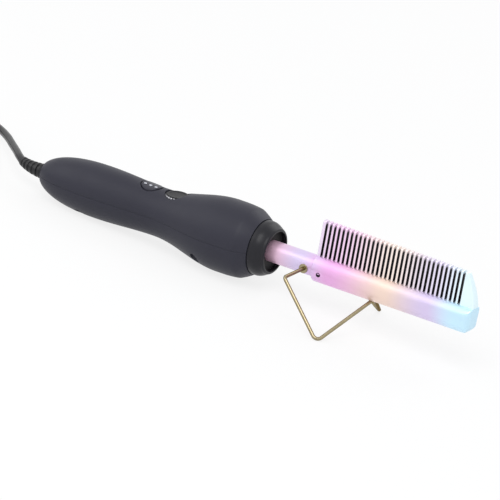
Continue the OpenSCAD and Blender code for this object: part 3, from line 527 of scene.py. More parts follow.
def put_out(tree, label, result, kind="NodeSocketFloat"):
    """Gives a group its output, and returns the group."""
    tree.interface.new_socket(label, in_out="OUTPUT", socket_type=kind)
    feed(tree, tree.nodes.new("NodeGroupOutput").inputs[label], result)
    return tree


SCRATCH_SHARE = 0.25
SCRATCH_SCALE = (60.0, 1400.0, 1400.0)


def moulded_grain():
    """Fine grain of moulded or rolled surfaces, with a slow waviness, as a height."""
    tree, coords, grain, wave, share = group("Fine Grain", Grain=2600.0, Wave=90.0,
                                             Wave_Share=0.3)
    fine = noise_at(tree, coords["Object"], grain, 3.0)
    slow = noise_at(tree, coords["Object"], wave, 2.0)
    return put_out(tree, "Height", slow * share + fine * (1.0 - share))


def handling_marks():
    """Slow blotches and faint scratches left by hands, as a roughness between two
    values."""
    tree, coords, scale, low, high = group("Handling Marks", Scale=70.0, Low=0.4, High=0.5)
    blotch = noise_at(tree, coords["Object"], scale, 1.5, Roughness=0.45)
    drawn = add(tree, "ShaderNodeMapping", Vector=coords["Object"], Scale=SCRATCH_SCALE)
    scratch = noise_at(tree, drawn.outputs[0], 1.0, 2.0)
    mix = blotch * (1 - SCRATCH_SHARE) + scratch * SCRATCH_SHARE
    return put_out(tree, "Roughness", ranged(tree, mix, 0.3, 0.7, low, high))


def tint_spread():
    """A colour that drifts a little lighter and darker over a surface."""
    tree, coords, rgb, drift, scale = group("Tint Drift", Colour=(0.5, 0.5, 0.5, 1), Drift=0.1,
                                            Scale=60.0)
    swing = (noise_at(tree, coords["Object"], scale, 3.0) - 0.5) * drift
    shade = add(tree, "ShaderNodeHueSaturation", Value=swing * 2.0 + 1.0, Color=rgb)
    return put_out(tree, "Colour", shade.outputs[0], "NodeSocketColor")


# The film's own start and length along the comb, the scale at which its borders wander,
# and where on it each tone is purest, from the shank's root (0) to the tip (1).
FILM_X, FILM_L = -26 * MM, 136 * MM
FILM_SCALE = 42.0
FILM_TONES = ((0.05, "rose"), (0.2, "lilac"), (0.33, "orchid"), (0.6, "peach"),
              (0.8, "lilac"), (0.95, "ice"))


def rainbow_film():
    """Pastel temper colours of a thin oxide film along the comb, five tones that run
    into each other and whose borders wander and lean with the height."""
    tree, coords, start, span, wander, lean = group("Rainbow Film", Start=0.0, Length=0.1,
                                                    Wander=0.08, Lean=0.0)
    x, _, z = parts_of(tree, coords["Object"])
    noise = noise_at(tree, coords["Object"], FILM_SCALE, 2.0)
    where = (x - start) / span + (noise - 0.5) * wander + z * lean
    ramp = add(tree, "ShaderNodeValToRGB", Fac=where)
    ramp.color_ramp.interpolation = "EASE"
    stops = ramp.color_ramp.elements
    stops.remove(stops[1])
    for k, (at, tone) in enumerate(FILM_TONES):
        stop = stops.new(at) if k else stops[0]
        stop.position = at
        stop.color = (*getattr(bpy.context.scene.heated_comb.colours, tone), 1)
    return put_out(tree, "Colour", ramp.outputs["Color"], "NodeSocketColor")


def gap_shade_mask():
    """Where shade is painted on the teeth: a mask on faces that look along the comb, between two
    places along its leaning axis, which fades out towards a sloping top line: 1 deep in the
    gaps, where the painted shade is darkest, and 0 near the teeth's tops and on the row's two
    outer ends."""
    tree, coords, first, limit, top, slope, fade = group(
        "Facing Sides", First=0.0, Limit=1.0, Top=0.05, Slope=0.0, Fade=0.0012)
    way = parts_of(tree, coords["Normal"])[0]
    faced = ranged(tree, math("ABSOLUTE", way), 0.35, 0.7)
    x, _, z = parts_of(tree, coords["Object"])
    along = x * float(LEAN[0]) + z * float(LEAN[2])
    within = (along < limit) * (along > first)
    deep = math("SUBTRACT", (top + x * slope - z) / fade, 1.0, clamp=True)
    return put_out(tree, "Mask", faced * within * deep)


def crest_glint_mask():
    """A mask for the painted glints on the crests of a knurled disc: beyond a radius from its
    axis and on faces that don't look up or down."""
    tree, coords, centre, inner, outer = group("Knurl Crests", Centre=0.0, Inner=0.007,
                                               Outer=0.0072)
    up = parts_of(tree, coords["Normal"])[2]
    side = math("SUBTRACT", 1.0, math("ABSOLUTE", up), clamp=True)
    x, y, _ = parts_of(tree, coords["Object"])
    x = x - centre
    far = ranged(tree, math("SQRT", x * x + y * y), inner, outer)
    return put_out(tree, "Mask", far * math("MULTIPLY", side, 1.6, clamp=True))


# ---------------------------------------------------------------- finishes

BUMP_STRENGTH = 0.5
COAT_ROUGHNESS = 0.1
FILM_STEEL = (0.9, 0.7, 0.85)
# Painted glint: a pale metallic colour given to the dial's knurl crests, standing in for their
# glints
CREST_GLINT = (0.62, 0.62, 0.66)
CREST_GLINT_METAL = 0.9
CREST_FROM, CREST_TO = 7.02 * MM, 7.2 * MM
GROUPS = {}


def place_group(tree, name, **named):
    """One of the shared shader groups in a material, with its own values."""
    if not GROUPS:
        GROUPS.update(grain=moulded_grain(), marks=handling_marks(), tint=tint_spread(),
                      film=rainbow_film(), facing=gap_shade_mask(), crests=crest_glint_mask())
    return add(tree, "ShaderNodeGroup", node_tree=GROUPS[name], **named)


def blend(tree, factor, a, b):
    """A colour mixed from a node's output and scene-linear numbers."""
    mix = add(tree, "ShaderNodeMix", data_type="RGBA", Factor=factor)
    feed(tree, mix.inputs[6], a)
    feed(tree, mix.inputs[7], (*b, 1))
    return mix.outputs[2]


def finish_of(name, rgb, metal=0.0, rough=(0.4, 0.5), specular=0.5, grain=2600.0, depth=0.02,
              coat=0.0, drift=0.08, drift_scale=60.0, wave=0.3, rim=(1, 1, 1)):
    """A material: a drifting colour, roughness from handling marks and a fine grain in
    its normal, whose depth is in millimetres; rim tints its gloss. Even values sit on
    the shader's own sockets. Returns it, its tree, its shader and its colour's node."""
    mat = bpy.data.materials.new(name)
    mat.use_nodes = True
    mat.diffuse_color = (*rgb, 1)
    tree = mat.node_tree
    shader = tree.nodes["Principled BSDF"]
    tint = place_group(tree, "tint", Colour=(*rgb, 1), Drift=drift, Scale=drift_scale)
    hands = place_group(tree, "marks", Low=rough[0], High=rough[1])
    fine = place_group(tree, "grain", Grain=grain, Wave_Share=wave)
    bump = add(tree, "ShaderNodeBump", Strength=BUMP_STRENGTH, Distance=depth * MM,
               Height=fine.outputs[0])
    for label, value in (("Base Color", tint.outputs[0]), ("Roughness", hands.outputs[0]),
                         ("Normal", bump.outputs[0]), ("Metallic", metal),
                         ("Specular IOR Level", specular), ("Specular Tint", (*rim, 1)),
                         ("Coat Weight", coat), ("Coat Roughness", COAT_ROUGHNESS)):
        feed(tree, shader.inputs[label], value)
    return mat, tree, shader, tint


def film_metal(name, wander, lean, gap_shade_settings=None, pale=0.0):
    """Brushed steel under a pastel film; pale thins the film towards bare steel. The settings
    for the gaps are those of the mask that paints shade on the teeth's facing sides, darkest
    deep in the gaps."""
    mat, tree, shader, tint = finish_of(name, FILM_STEEL, metal=0.5, rough=(0.29, 0.38),
                                        grain=1800.0, depth=0.012, drift=0.05)
    tone = place_group(tree, "film", Start=float(on_table([FILM_X, 0, 0])[0]), Length=FILM_L,
                       Wander=wander, Lean=lean).outputs[0]
    if pale:
        tone = add(tree, "ShaderNodeHueSaturation", Saturation=1.0 - pale,
                   Value=1.0 + 0.2 * pale, Color=tone).outputs[0]
    feed(tree, tint.inputs["Colour"], tone)
    # Painted shade: a near-black colour is mixed into the film deep in the gaps between the
    # teeth
    if gap_shade_settings:
        mask = place_group(tree, "facing", **gap_shade_settings).outputs[0]
        dark = bpy.context.scene.heated_comb.colours.slot
        feed(tree, shader.inputs["Base Color"], blend(tree, mask, tint.outputs[0], dark))
    return mat


def dial_finish(name, rgb):
    """A black dial whose crests between its grooves get a pale metallic colour, painted so that
    they glint.
    """
    mat, tree, shader, tint = finish_of(name, rgb, rough=(0.34, 0.46), specular=0.2,
                                        depth=0.004)
    crests = place_group(tree, "crests", Centre=JOINTS["dial_turn"]["pos_m"][0],
                         Inner=CREST_FROM, Outer=CREST_TO).outputs[0]
    # Painted glint: the crests get the pale metallic colour so that they shine against the black
    # dial
    feed(tree, shader.inputs["Base Color"], blend(tree, crests, tint.outputs[0], CREST_GLINT))
    feed(tree, shader.inputs["Metallic"], Value(tree, crests) * CREST_GLINT_METAL)
    return mat


# Each finish: its colour, as a setting's name or scene-linear values, and what differs
# from the usual values of finish_of.
FINISHES = {
    "handle_plastic": ("handle", dict(specular=0.22, depth=0.05, grain=3200.0, wave=0.1)),
    "button_plastic": ("handle", dict(rough=(0.32, 0.42), specular=0.25, grain=3200.0)),
    "ring_plastic": ("ring", dict(rough=(0.28, 0.38), specular=0.22, depth=0.03)),
    "insulator": ((0.012, 0.012, 0.013), dict(rough=(0.6, 0.75), specular=0.3)),
    "gloss_black": ("gloss", dict(rough=(0.26, 0.36), specular=0.25, depth=0.006)),
    "pip_lens": ((0.60, 0.62, 0.68), dict(rough=(0.15, 0.25), coat=0.5, depth=0.003,
                                          drift=0.02)),
    "rubber": ("rubber", dict(rough=(0.30, 0.42), specular=0.4, depth=0.03, grain=2200.0)),
    "cord_jacket": ("rubber", dict(rough=(0.22, 0.32), specular=0.32, depth=0.01,
                                   grain=1500.0)),
    "brass_wire": ("brass", dict(metal=1.0, rough=(0.16, 0.30), depth=0.015, grain=1600.0,
                                 drift=0.18, drift_scale=180.0, rim=(0.30, 0.22, 0.12))),
    "dark_screw": ("steel", dict(metal=0.2, rough=(0.5, 0.65), specular=0.15, drift=0.15)),
    "bright_steel": ((0.62, 0.62, 0.64), dict(metal=1.0, rough=(0.22, 0.34), depth=0.008)),
    "plain_brass": ((0.72, 0.52, 0.22), dict(metal=1.0, rough=(0.25, 0.38))),
    "ceramic": ((0.84, 0.83, 0.78), dict(rough=(0.5, 0.65))),
    "board_green": ((0.02, 0.16, 0.06), dict(rough=(0.3, 0.42), drift=0.2,
                                             drift_scale=400.0)),
    "red_insulation": ((0.45, 0.04, 0.03), {}),
    "blue_insulation": ((0.05, 0.14, 0.42), {}),
    "brown_resin": ((0.22, 0.10, 0.04), dict(rough=(0.35, 0.5))),
    "tan_nylon": ((0.52, 0.42, 0.26), dict(rough=(0.45, 0.6))),
    "slate_case": ((0.10, 0.11, 0.24), dict(rough=(0.35, 0.5))),
    "green_lamp": ((0.36, 0.72, 0.36), dict(rough=(0.15, 0.25), coat=0.4)),
}


def named_finish(kind):
    """The finish of a kind of piece, made once and shared by its pieces."""
    found = bpy.data.materials.get(kind)
    if found:
        return found
    colours = bpy.context.scene.heated_comb.colours
    if kind == "dial_black":
        return dial_finish(kind, colours.gloss)
    rgb, values = FINISHES[kind]
    return finish_of(kind, getattr(colours, rgb) if isinstance(rgb, str) else rgb, **values)[0]


# ---------------------------------------------------------------- stage

CAMERA_AT = (1.1112, -2.15454, 0.99796)
CAMERA_RIGHT = (0.83341, 0.51616, 0.19749)
CAMERA_BACK = (0.42232, -0.82531, 0.37485)
SENSOR = 36.0
NEAREST, FARTHEST = 0.1, 60.0
# Each lamp's name, place and width, and the setting that gives its power.
LAMPS = (("key", (0.25, -0.85, 1.25), 0.9, "key"), ("fill", (-0.9, -0.5, 0.7), 0.9, "fill"),
         ("back", (0.2, 1.0, 0.9), 0.8, "fill"))
LAMPS_AIM = (0, 0, 0.03)
SKY = (0.97, 0.98, 1.0, 1)
WHITE = (1, 1, 1, 1)
FLOOR_REACH = 9.0
FLOOR_BELOW = 0.2 * MM
FLOOR_WHITE = 0.80


def aimed(place, right, back):
    """The matrix of a camera or a lamp at a place: its own Z looks back, and its own X
    is the part of right that is square to it."""
    right, back = np.array(right), np.array(back)
    right = right - back * (right @ back) / (back @ back)
    right, back = right / np.linalg.norm(right), back / np.linalg.norm(back)
    turn = np.stack([right, np.cross(back, right), back], 1)
    return Matrix.Translation(place) @ Matrix(turn.tolist()).to_4x4()


class HEATEDCOMB_OT_stage(bpy.types.Operator):
    """Make the camera, the lamps, the surroundings and the floor"""
    bl_idname = "heated_comb.stage"
    bl_label = "Stage"

    def execute(self, context):
        s = context.scene.heated_comb
        scene = context.scene
        scene.view_settings.view_transform = "Standard"
        data = bpy.data.cameras.new("camera")
        data.lens, data.sensor_width, data.sensor_fit = s.stage.lens, SENSOR, "HORIZONTAL"
        data.clip_start, data.clip_end = NEAREST, FARTHEST
        cam = bpy.data.objects.new("camera", data)
        cam.matrix_world = aimed(CAMERA_AT, CAMERA_RIGHT, CAMERA_BACK)
        scene.collection.objects.link(cam)
        scene.camera = cam
        for name, place, width, power in LAMPS:
            self.lamp(name, place, width, getattr(s.stage, power))

        world = scene.world or bpy.data.worlds.new("surroundings")
        scene.world = world
        world.use_nodes = True
        tree = world.node_tree
        tree.nodes.clear()
        soft = add(tree, "ShaderNodeBackground", Color=SKY, Strength=s.stage.world)
        plain = add(tree, "ShaderNodeBackground", Color=WHITE)
        mix = add(tree, "ShaderNodeMixShader", self.seen(tree), soft.outputs[0],
                  plain.outputs[0])
        add(tree, "ShaderNodeOutputWorld", Surface=mix.outputs[0])

        u = np.linspace(-FLOOR_REACH, FLOOR_REACH, 3)
        points = grid_points(u[:, None], u, -FLOOR_BELOW)
        floor = piece("floor", [(points, grid_faces(3, 3))], None,
                      self.floor_paint(s.colours.floor))
        return {"FINISHED"}

    def lamp(self, name, place, width, power):
        """A square soft lamp that looks at the comb's middle."""
        data = bpy.data.lights.new(name, "AREA")
        data.size, data.energy = width, power
        lamp = bpy.data.objects.new(name, data)
        back = np.array(place) - LAMPS_AIM
        lamp.matrix_world = aimed(place, np.cross([0, 0, 1], back), back)
        bpy.context.scene.collection.objects.link(lamp)

    def seen(self, tree):
        """1 for rays from the camera, a mirror or glass, and 0 for light on the object."""
        path = add(tree, "ShaderNodeLightPath").outputs
        camera, gloss, glass = (Value(tree, path[f"Is {kind} Ray"])
                                for kind in ("Camera", "Glossy", "Transmission"))
        return math("ADD", camera + gloss, glass, clamp=True)

    def floor_paint(self, rgb):
        """A pale floor that reads as white and still keeps the object's soft shadow."""
        mat = bpy.data.materials.new("pale_floor")
        mat.use_nodes = True
        tree = mat.node_tree
        tree.nodes.clear()
        matt = add(tree, "ShaderNodeBsdfDiffuse", Color=(*rgb, 1))
        white = add(tree, "ShaderNodeEmission", Color=WHITE, Strength=1.0)
        mix = add(tree, "ShaderNodeMixShader", self.seen(tree) * FLOOR_WHITE,
                  matt.outputs[0], white.outputs[0])
        add(tree, "ShaderNodeOutputMaterial", Surface=mix.outputs[0])
        return mat


# ---------------------------------------------------------------- cord

# The cord's route in the table's frame, and the spiral of its coil.
EXIT = np.array([-154.603, 5.242, 12.245]) * MM
STRAIGHT_OUT = np.array([-156.592, 6.584, 12.108]) * MM
RUN = np.array([[-159.3, 9, 12], [-161.8, 11.4, 11.7], [-164.2, 13.9, 11.5],
                [-167.7, 17.5, 11.1], [-172.7, 22.5, 10.4], [-178.3, 28.2, 9.6],
                [-184.6, 34.6, 8.7], [-192.1, 41.4, 7.6], [-199.9, 47.3, 6.6],
                [-208.3, 52.5, 5.6], [-217.7, 57.2, 4.6], [-226.9, 60.7, 3.7],
                [-236.4, 63.3, 3.1], [-246.5, 65, 2.6], [-256, 65.5, 2.4],
                [-265.9, 64.6, 2.4], [-276, 62.2, 2.4]]) * MM
TAIL = np.array([[-298.9, -2.8, 7], [-294.6, -13.2, 6.2], [-288.6, -23.5, 5],
                 [-281.4, -32.8, 4], [-272.8, -40.6, 3.6], [-264.3, -46, 4.3],
                 [-257, -49.3, 5.8], [-251.7, -50.5, 6.9], [-248.1, -50.5, 7]]) * MM
COIL_AT = np.array([-268, 24.0]) * MM
COIL_TURNS = 4.1217
COIL_OUT, COIL_IN = 38.4 * MM, 18.7 * MM
COIL_FROM = 120.6
COIL_STEPS = 330
CORD_STEP = 2.4 * MM
PLUG_AT = np.array([-232, -50.5, 7.0]) * MM
PIN_L, PIN_R, PIN_Y = 19.1, 2.0, 9.3
BAND_IN, BAND_OUT, BAND_TOP = 15.9 * MM, 41.7 * MM, 10.5 * MM
BAND_TURN = np.radians(200)
RELIEF_ARC = 34.0
RELIEF_STRAIGHT = 3.0 * MM


def cord_path(cord_d):
    """The whole cord from its exit: the run to the coil, two flat spirals, the lower
    one inwards and the upper one outwards, and the tail to the plug."""
    a = np.radians(COIL_FROM) + np.linspace(0, 2 * COIL_TURNS, COIL_STEPS) * 2 * np.pi
    t = np.linspace(0, 2, COIL_STEPS)
    r = COIL_OUT - (COIL_OUT - COIL_IN) * (1 - np.abs(t - 1))
    rise = np.clip((t - 0.97) / 0.09, 0, 1)
    z = cord_d * (0.5 + rise * rise * (3 - 2 * rise))
    coil = np.stack([COIL_AT[0] + r * np.cos(a), COIL_AT[1] + r * np.sin(a), z], 1)
    return smooth_path(np.concatenate([[EXIT, STRAIGHT_OUT], RUN, coil, TAIL]), CORD_STEP)


def elliptic_loft(stations, steps):
    """A closed body along X from stations of (x, half width, half height): each
    section is an ellipse, and the ends run to a point."""
    s = np.asarray(stations, float)
    a = angles_round(steps)
    points = grid_points(s[:, :1], s[:, 1:2] * np.cos(a), s[:, 2:3] * np.sin(a))
    return points.reshape(-1, 3), grid_faces(len(s), steps, False, True)


class HEATEDCOMB_OT_cord(bpy.types.Operator):
    """Make the cord with its coil, the tie, the plug and the plug's pins"""
    bl_idname = "heated_comb.cord"
    bl_label = "Cord and Plug"

    def execute(self, context):
        s = context.scene.heated_comb.cord
        path = cord_path(s.cord_d)
        cord = piece("cord", [swept(path, s.cord_d / 2, 14)], "comb", "cord_jacket",
                     ("cord_run", "cord_coil", "cord_tail"), sharp=60)
        tie, plug, pins = self.tie(), self.plug(s), self.pins(s)
        return {"FINISHED"}

    def tie(self):
        """A soft band round the coil's bundle: a rounded outline across the bundle,
        carried along the band's width with a crowned face."""
        mid, half_w, half_h = (BAND_IN + BAND_OUT) / 2, (BAND_OUT - BAND_IN) / 2, BAND_TOP / 2
        a = angles_round(96)
        cx, cz = (np.sign(v) * np.abs(v) ** 0.35 for v in (np.cos(a), np.sin(a)))
        w = np.array([-4, -3.8, -2.5, 0, 2.5, 3.8, 4, 3.8, -3.8]) * MM
        t = np.array([-0.35, 0, 0.02, 0.05, 0.02, 0, -0.35, -0.72, -0.72]) * MM
        x = mid + (half_w + t[:, None]) * cx
        z = half_h + (half_h + t[:, None]) * cz
        flat = grid_points(x, w[:, None], z).reshape(-1, 3)
        c, n = np.cos(BAND_TURN), np.sin(BAND_TURN)
        turn = np.array([[c, n, 0], [-n, c, 0], [0, 0, 1]])
        return piece("cord_band", [(flat @ turn + [*COIL_AT, 0],
                                    grid_faces(len(w), len(a), True, True))],
                     "comb", "rubber", ("cord_tie",))

    def plug(self, s):
        """The plug's body and its ribbed relief in one loft, whose height and width
        follow smooth shoulders. Each section is then made squarer towards the front by
        moving its points out, most in the middle of a side. Sizes in millimetres."""
        relief_l, neck, shoulder_l, square_l = 16, 4.4, 9, 8
        cord_r, body_l = s.cord_d / 2 / MM, s.plug_l / MM
        half_w, half_h = s.plug_w / 2 / MM, s.plug_h / 2 / MM
        x = np.linspace(-relief_l, 0, 41)
        rib = 0.45 * np.clip(np.sin((x + 15.2) * 2 * np.pi / 3.1), -0.4, 0.6) \
            * (x > -15) * (x < -1.4)
        r = (cord_r + 0.8) + (neck - cord_r - 0.8) * (x + relief_l) / relief_l + rib
        u = np.linspace(0, 1, 25)[1:]
        full = 1 - (1 - u) ** 2.6
        front = np.stack([u * shoulder_l, neck + (half_w - 0.2 - neck) * full,
                          neck + (half_h - 0.15 - neck) * full], 1)
        # Place along the body, and how far it is inset in width and height.
        grooves = [(12 + 2 * k, 0.5 * (k % 2), 0.4 * (k % 2)) for k in range(7)]
        end = [(body_l - back, inset, inset)
               for back, inset in ((1.2, 0), (0.5, 0.15), (0.12, 0.55), (0, 1.2))]
        grip = np.array([(10, 0.15, 0.1), *grooves, *end, (body_l, half_w, half_h)])
        grip = grip * (1, -1, -1) + (0, half_w, half_h)
        rows = np.concatenate([[[-relief_l, 0, 0], [-relief_l, r[0] - .5, r[0] - .5]],
                               np.stack([x, r, r], 1), front, grip])
        points, faces = elliptic_loft(rows * MM, 96)
        across = np.clip(points[:, 0] / (square_l * MM), 0, 1)
        for k, half in ((1, s.plug_w / 2), (2, s.plug_h / 2)):
            v = np.clip(points[:, k] / half, -1, 1)
            squarer = half * np.sign(v) * (1 - (1 - np.abs(v)) ** 1.35)
            points[:, k] += (squarer - points[:, k]) * across * (np.abs(v) < 1)
        return piece("plug", [(points + PLUG_AT, faces)], "comb", "rubber", ("plug_body",),
                     sharp=40)

    def pins(self, s):
        """Two round pins with domed ends."""
        profile = rounded(np.array([[0.1, 0.01], [0.1, PIN_R], [PIN_L, PIN_R],
                                    [PIN_L, 0.01]]), [0, 0.1, 1.2, 0]) * MM
        parts = [turned(profile, 48, PLUG_AT + [s.plug_l, y * MM, 0])
                 for y in (-PIN_Y, PIN_Y)]
        return piece("pins", parts, "comb", "bright_steel", ("plug_pins",))


def relief_place(s, length_):
    """Centre and direction at each distance behind the tail: straight at first, then
    round an arc towards the comb's own Y."""
    arc_r = (length_ - RELIEF_STRAIGHT) / np.radians(RELIEF_ARC)
    a = np.maximum(s - RELIEF_STRAIGHT, 0) / arc_r
    x = TAIL_X - np.minimum(s, RELIEF_STRAIGHT) - arc_r * np.sin(a)
    return np.stack([x, arc_r * (1 - np.cos(a)), np.zeros_like(a)], 1)


class HEATEDCOMB_OT_strain_relief(bpy.types.Operator):
    """Make the swivel collar and the ribbed strain relief"""
    bl_idname = "heated_comb.strain_relief"
    bl_label = "Strain Relief"

    def execute(self, context):
        s = context.scene.heated_comb.cord
        base, tip = s.relief_d / 2 - 0.2 * MM, s.cord_d / 2 + 0.5 * MM
        start, ribs_at, ribs_end, rib_depth = 2.7 * MM, 3.5 * MM, 1 * MM, 0.9 * MM
        # A straight taper, cut by a cosine that is clipped to make flat-topped ribs and
        # rounded off at its end, and carried along an arc.
        pitch = (s.relief_l - ribs_end - ribs_at) / s.ribs
        d = np.linspace(start, s.relief_l, 150)
        taper = base + (tip - base) * (d - start) / (s.relief_l - start)
        phase = (d - ribs_at) / pitch
        inside = (phase > 0) & (phase < s.ribs)
        wave = np.clip(1.7 * np.cos(2 * np.pi * (phase - 0.2)) + 0.3, 0, 1)
        radius = taper - rib_depth * taper / base * wave * inside
        radius[-3:] -= np.array([0.06, 0.18, 0.4]) * MM
        path = on_table(relief_place(d, s.relief_l))
        piece("strain_relief_ribs", [swept(path, radius, 40)], "comb", "rubber",
              ("strain_relief",), sharp=50)

        profile = rounded(np.array([[-0.2, 4.1], [-0.2, 4.8], [-2.6, 4.8], [-2.6, 0.01],
                                    [6.0, 0.01], [6.0, 5.4], [4.1, 5.4], [4.1, 4.04]]),
                          [0, 0.45, 0.5, 0, 0, 0.3, 0.3, 0]) * MM
        comb_piece("collar", [turned(profile + [TAIL_X, 0], 96)], "cord_swivel",
                   "ring_plastic", "swivel_collar")
        return {"FINISHED"}


# ---------------------------------------------------------------- handle

def well(circle, box, radius, surface, steps=8, closer=1.2):
    """A patch of a handle surface round a well: rings run from the well's circle,
    given by its middle and radius, out to the edge of a box of grid lines, a little
    closer together by the circle. Returns the points and the circle's angles."""
    cx, cy = circle
    xs, angles = box
    edge = np.concatenate([
        np.stack([xs[:-1], np.full(len(xs) - 1, angles[0])], 1),
        np.stack([np.full(len(angles) - 1, xs[-1]), angles[:-1]], 1),
        np.stack([xs[:0:-1], np.full(len(xs) - 1, angles[-1])], 1),
        np.stack([np.full(len(angles) - 1, xs[0]), angles[:0:-1]], 1)])
    mean_r = surface(np.array([cx]))[0]
    turn = np.arctan2(mean_r * np.sin(edge[:, 1]) - cy, edge[:, 0] - cx)
    x = cx + radius * np.cos(turn)
    inner = np.stack([x, np.arcsin((cy + radius * np.sin(turn)) / surface(x))], 1)
    t = np.linspace(0, 1, steps + 1)[:, None, None] ** closer
    return (1 - t) * inner + t * edge, turn


class ShellMaker:
    """Works out one half of the handle; side is 1 above the parting line and -1
    below it."""

    def __init__(self, sizes, side):
        """Sets the grid: places along the handle, closer at the tail, and angles."""
        self.s, self.side = sizes, side
        self.angles = np.radians(np.linspace(-90, 90, 91))
        tail = GRIP_X - (GRIP_X - TAIL_X) * np.sin(np.linspace(np.pi / 2, 0, 44))
        front = np.arange(GRIP_X + 1 * MM, SEAM_X - 0.5 * MM, 1 * MM)
        self.x = np.concatenate([tail, front, [SEAM_X]])
        self.parts = []

    def outer(self, x):
        """Radius of the outer face."""
        return handle_radius(x, self.s)

    def inner(self, x):
        """Radius of the inner face."""
        return handle_radius(x, self.s) - self.s.wall

    def at(self, x, angle, radius):
        """A point from its place along the handle, its angle from the top and its
        radius."""
        return grid_points(x, radius * np.sin(angle), self.side * radius * np.cos(angle))

    def band(self, x, radius, wells, groove):
        """A grid over the half with boxes of faces left out where wells go; the last
        columns dip into the parting line."""
        points = self.at(x[:, None], self.angles[None], radius[:, None])
        if groove:
            for col in (0, -1):
                points[:, col] = self.at(x, self.angles[col], radius - self.s.parting_depth)
        points[:, [0, -1], 2] = self.side * self.s.parting
        faces = grid_faces(len(x), len(self.angles))
        row, col = faces[:, 0] // len(self.angles), faces[:, 0] % len(self.angles)
        keep = np.ones(len(faces), bool)
        for r0, r1, c0, c1 in wells:
            keep &= ~((row >= r0) & (row < r1) & (col >= c0) & (col < c1))
        self.parts.append((points.reshape(-1, 3), faces[keep]))
        return points

    def box_round(self, x, circle, radius, surface, spare=0.7 * MM):
        """Grid rows and columns that hold a well's circle with a little to spare."""
        cx, cy = circle
        r = surface(np.array([cx]))[0]
        low, high = (np.arcsin(np.clip((cy + k * (radius + spare)) / r, -0.99, 0.99))
                     for k in (-1, 1))
        r0 = np.searchsorted(x, cx - radius - spare) - 1
        r1 = np.searchsorted(x, cx + radius + spare)
        c0 = np.searchsorted(self.angles, low) - 1
        c1 = np.searchsorted(self.angles, high)
        return r0, r1, c0, c1

    def rings(self, rings):
        """Rings of points joined by quads."""
        points = np.stack(rings)
        self.parts.append((points.reshape(-1, 3),
                           grid_faces(len(rings), len(rings[0]), False, True)))


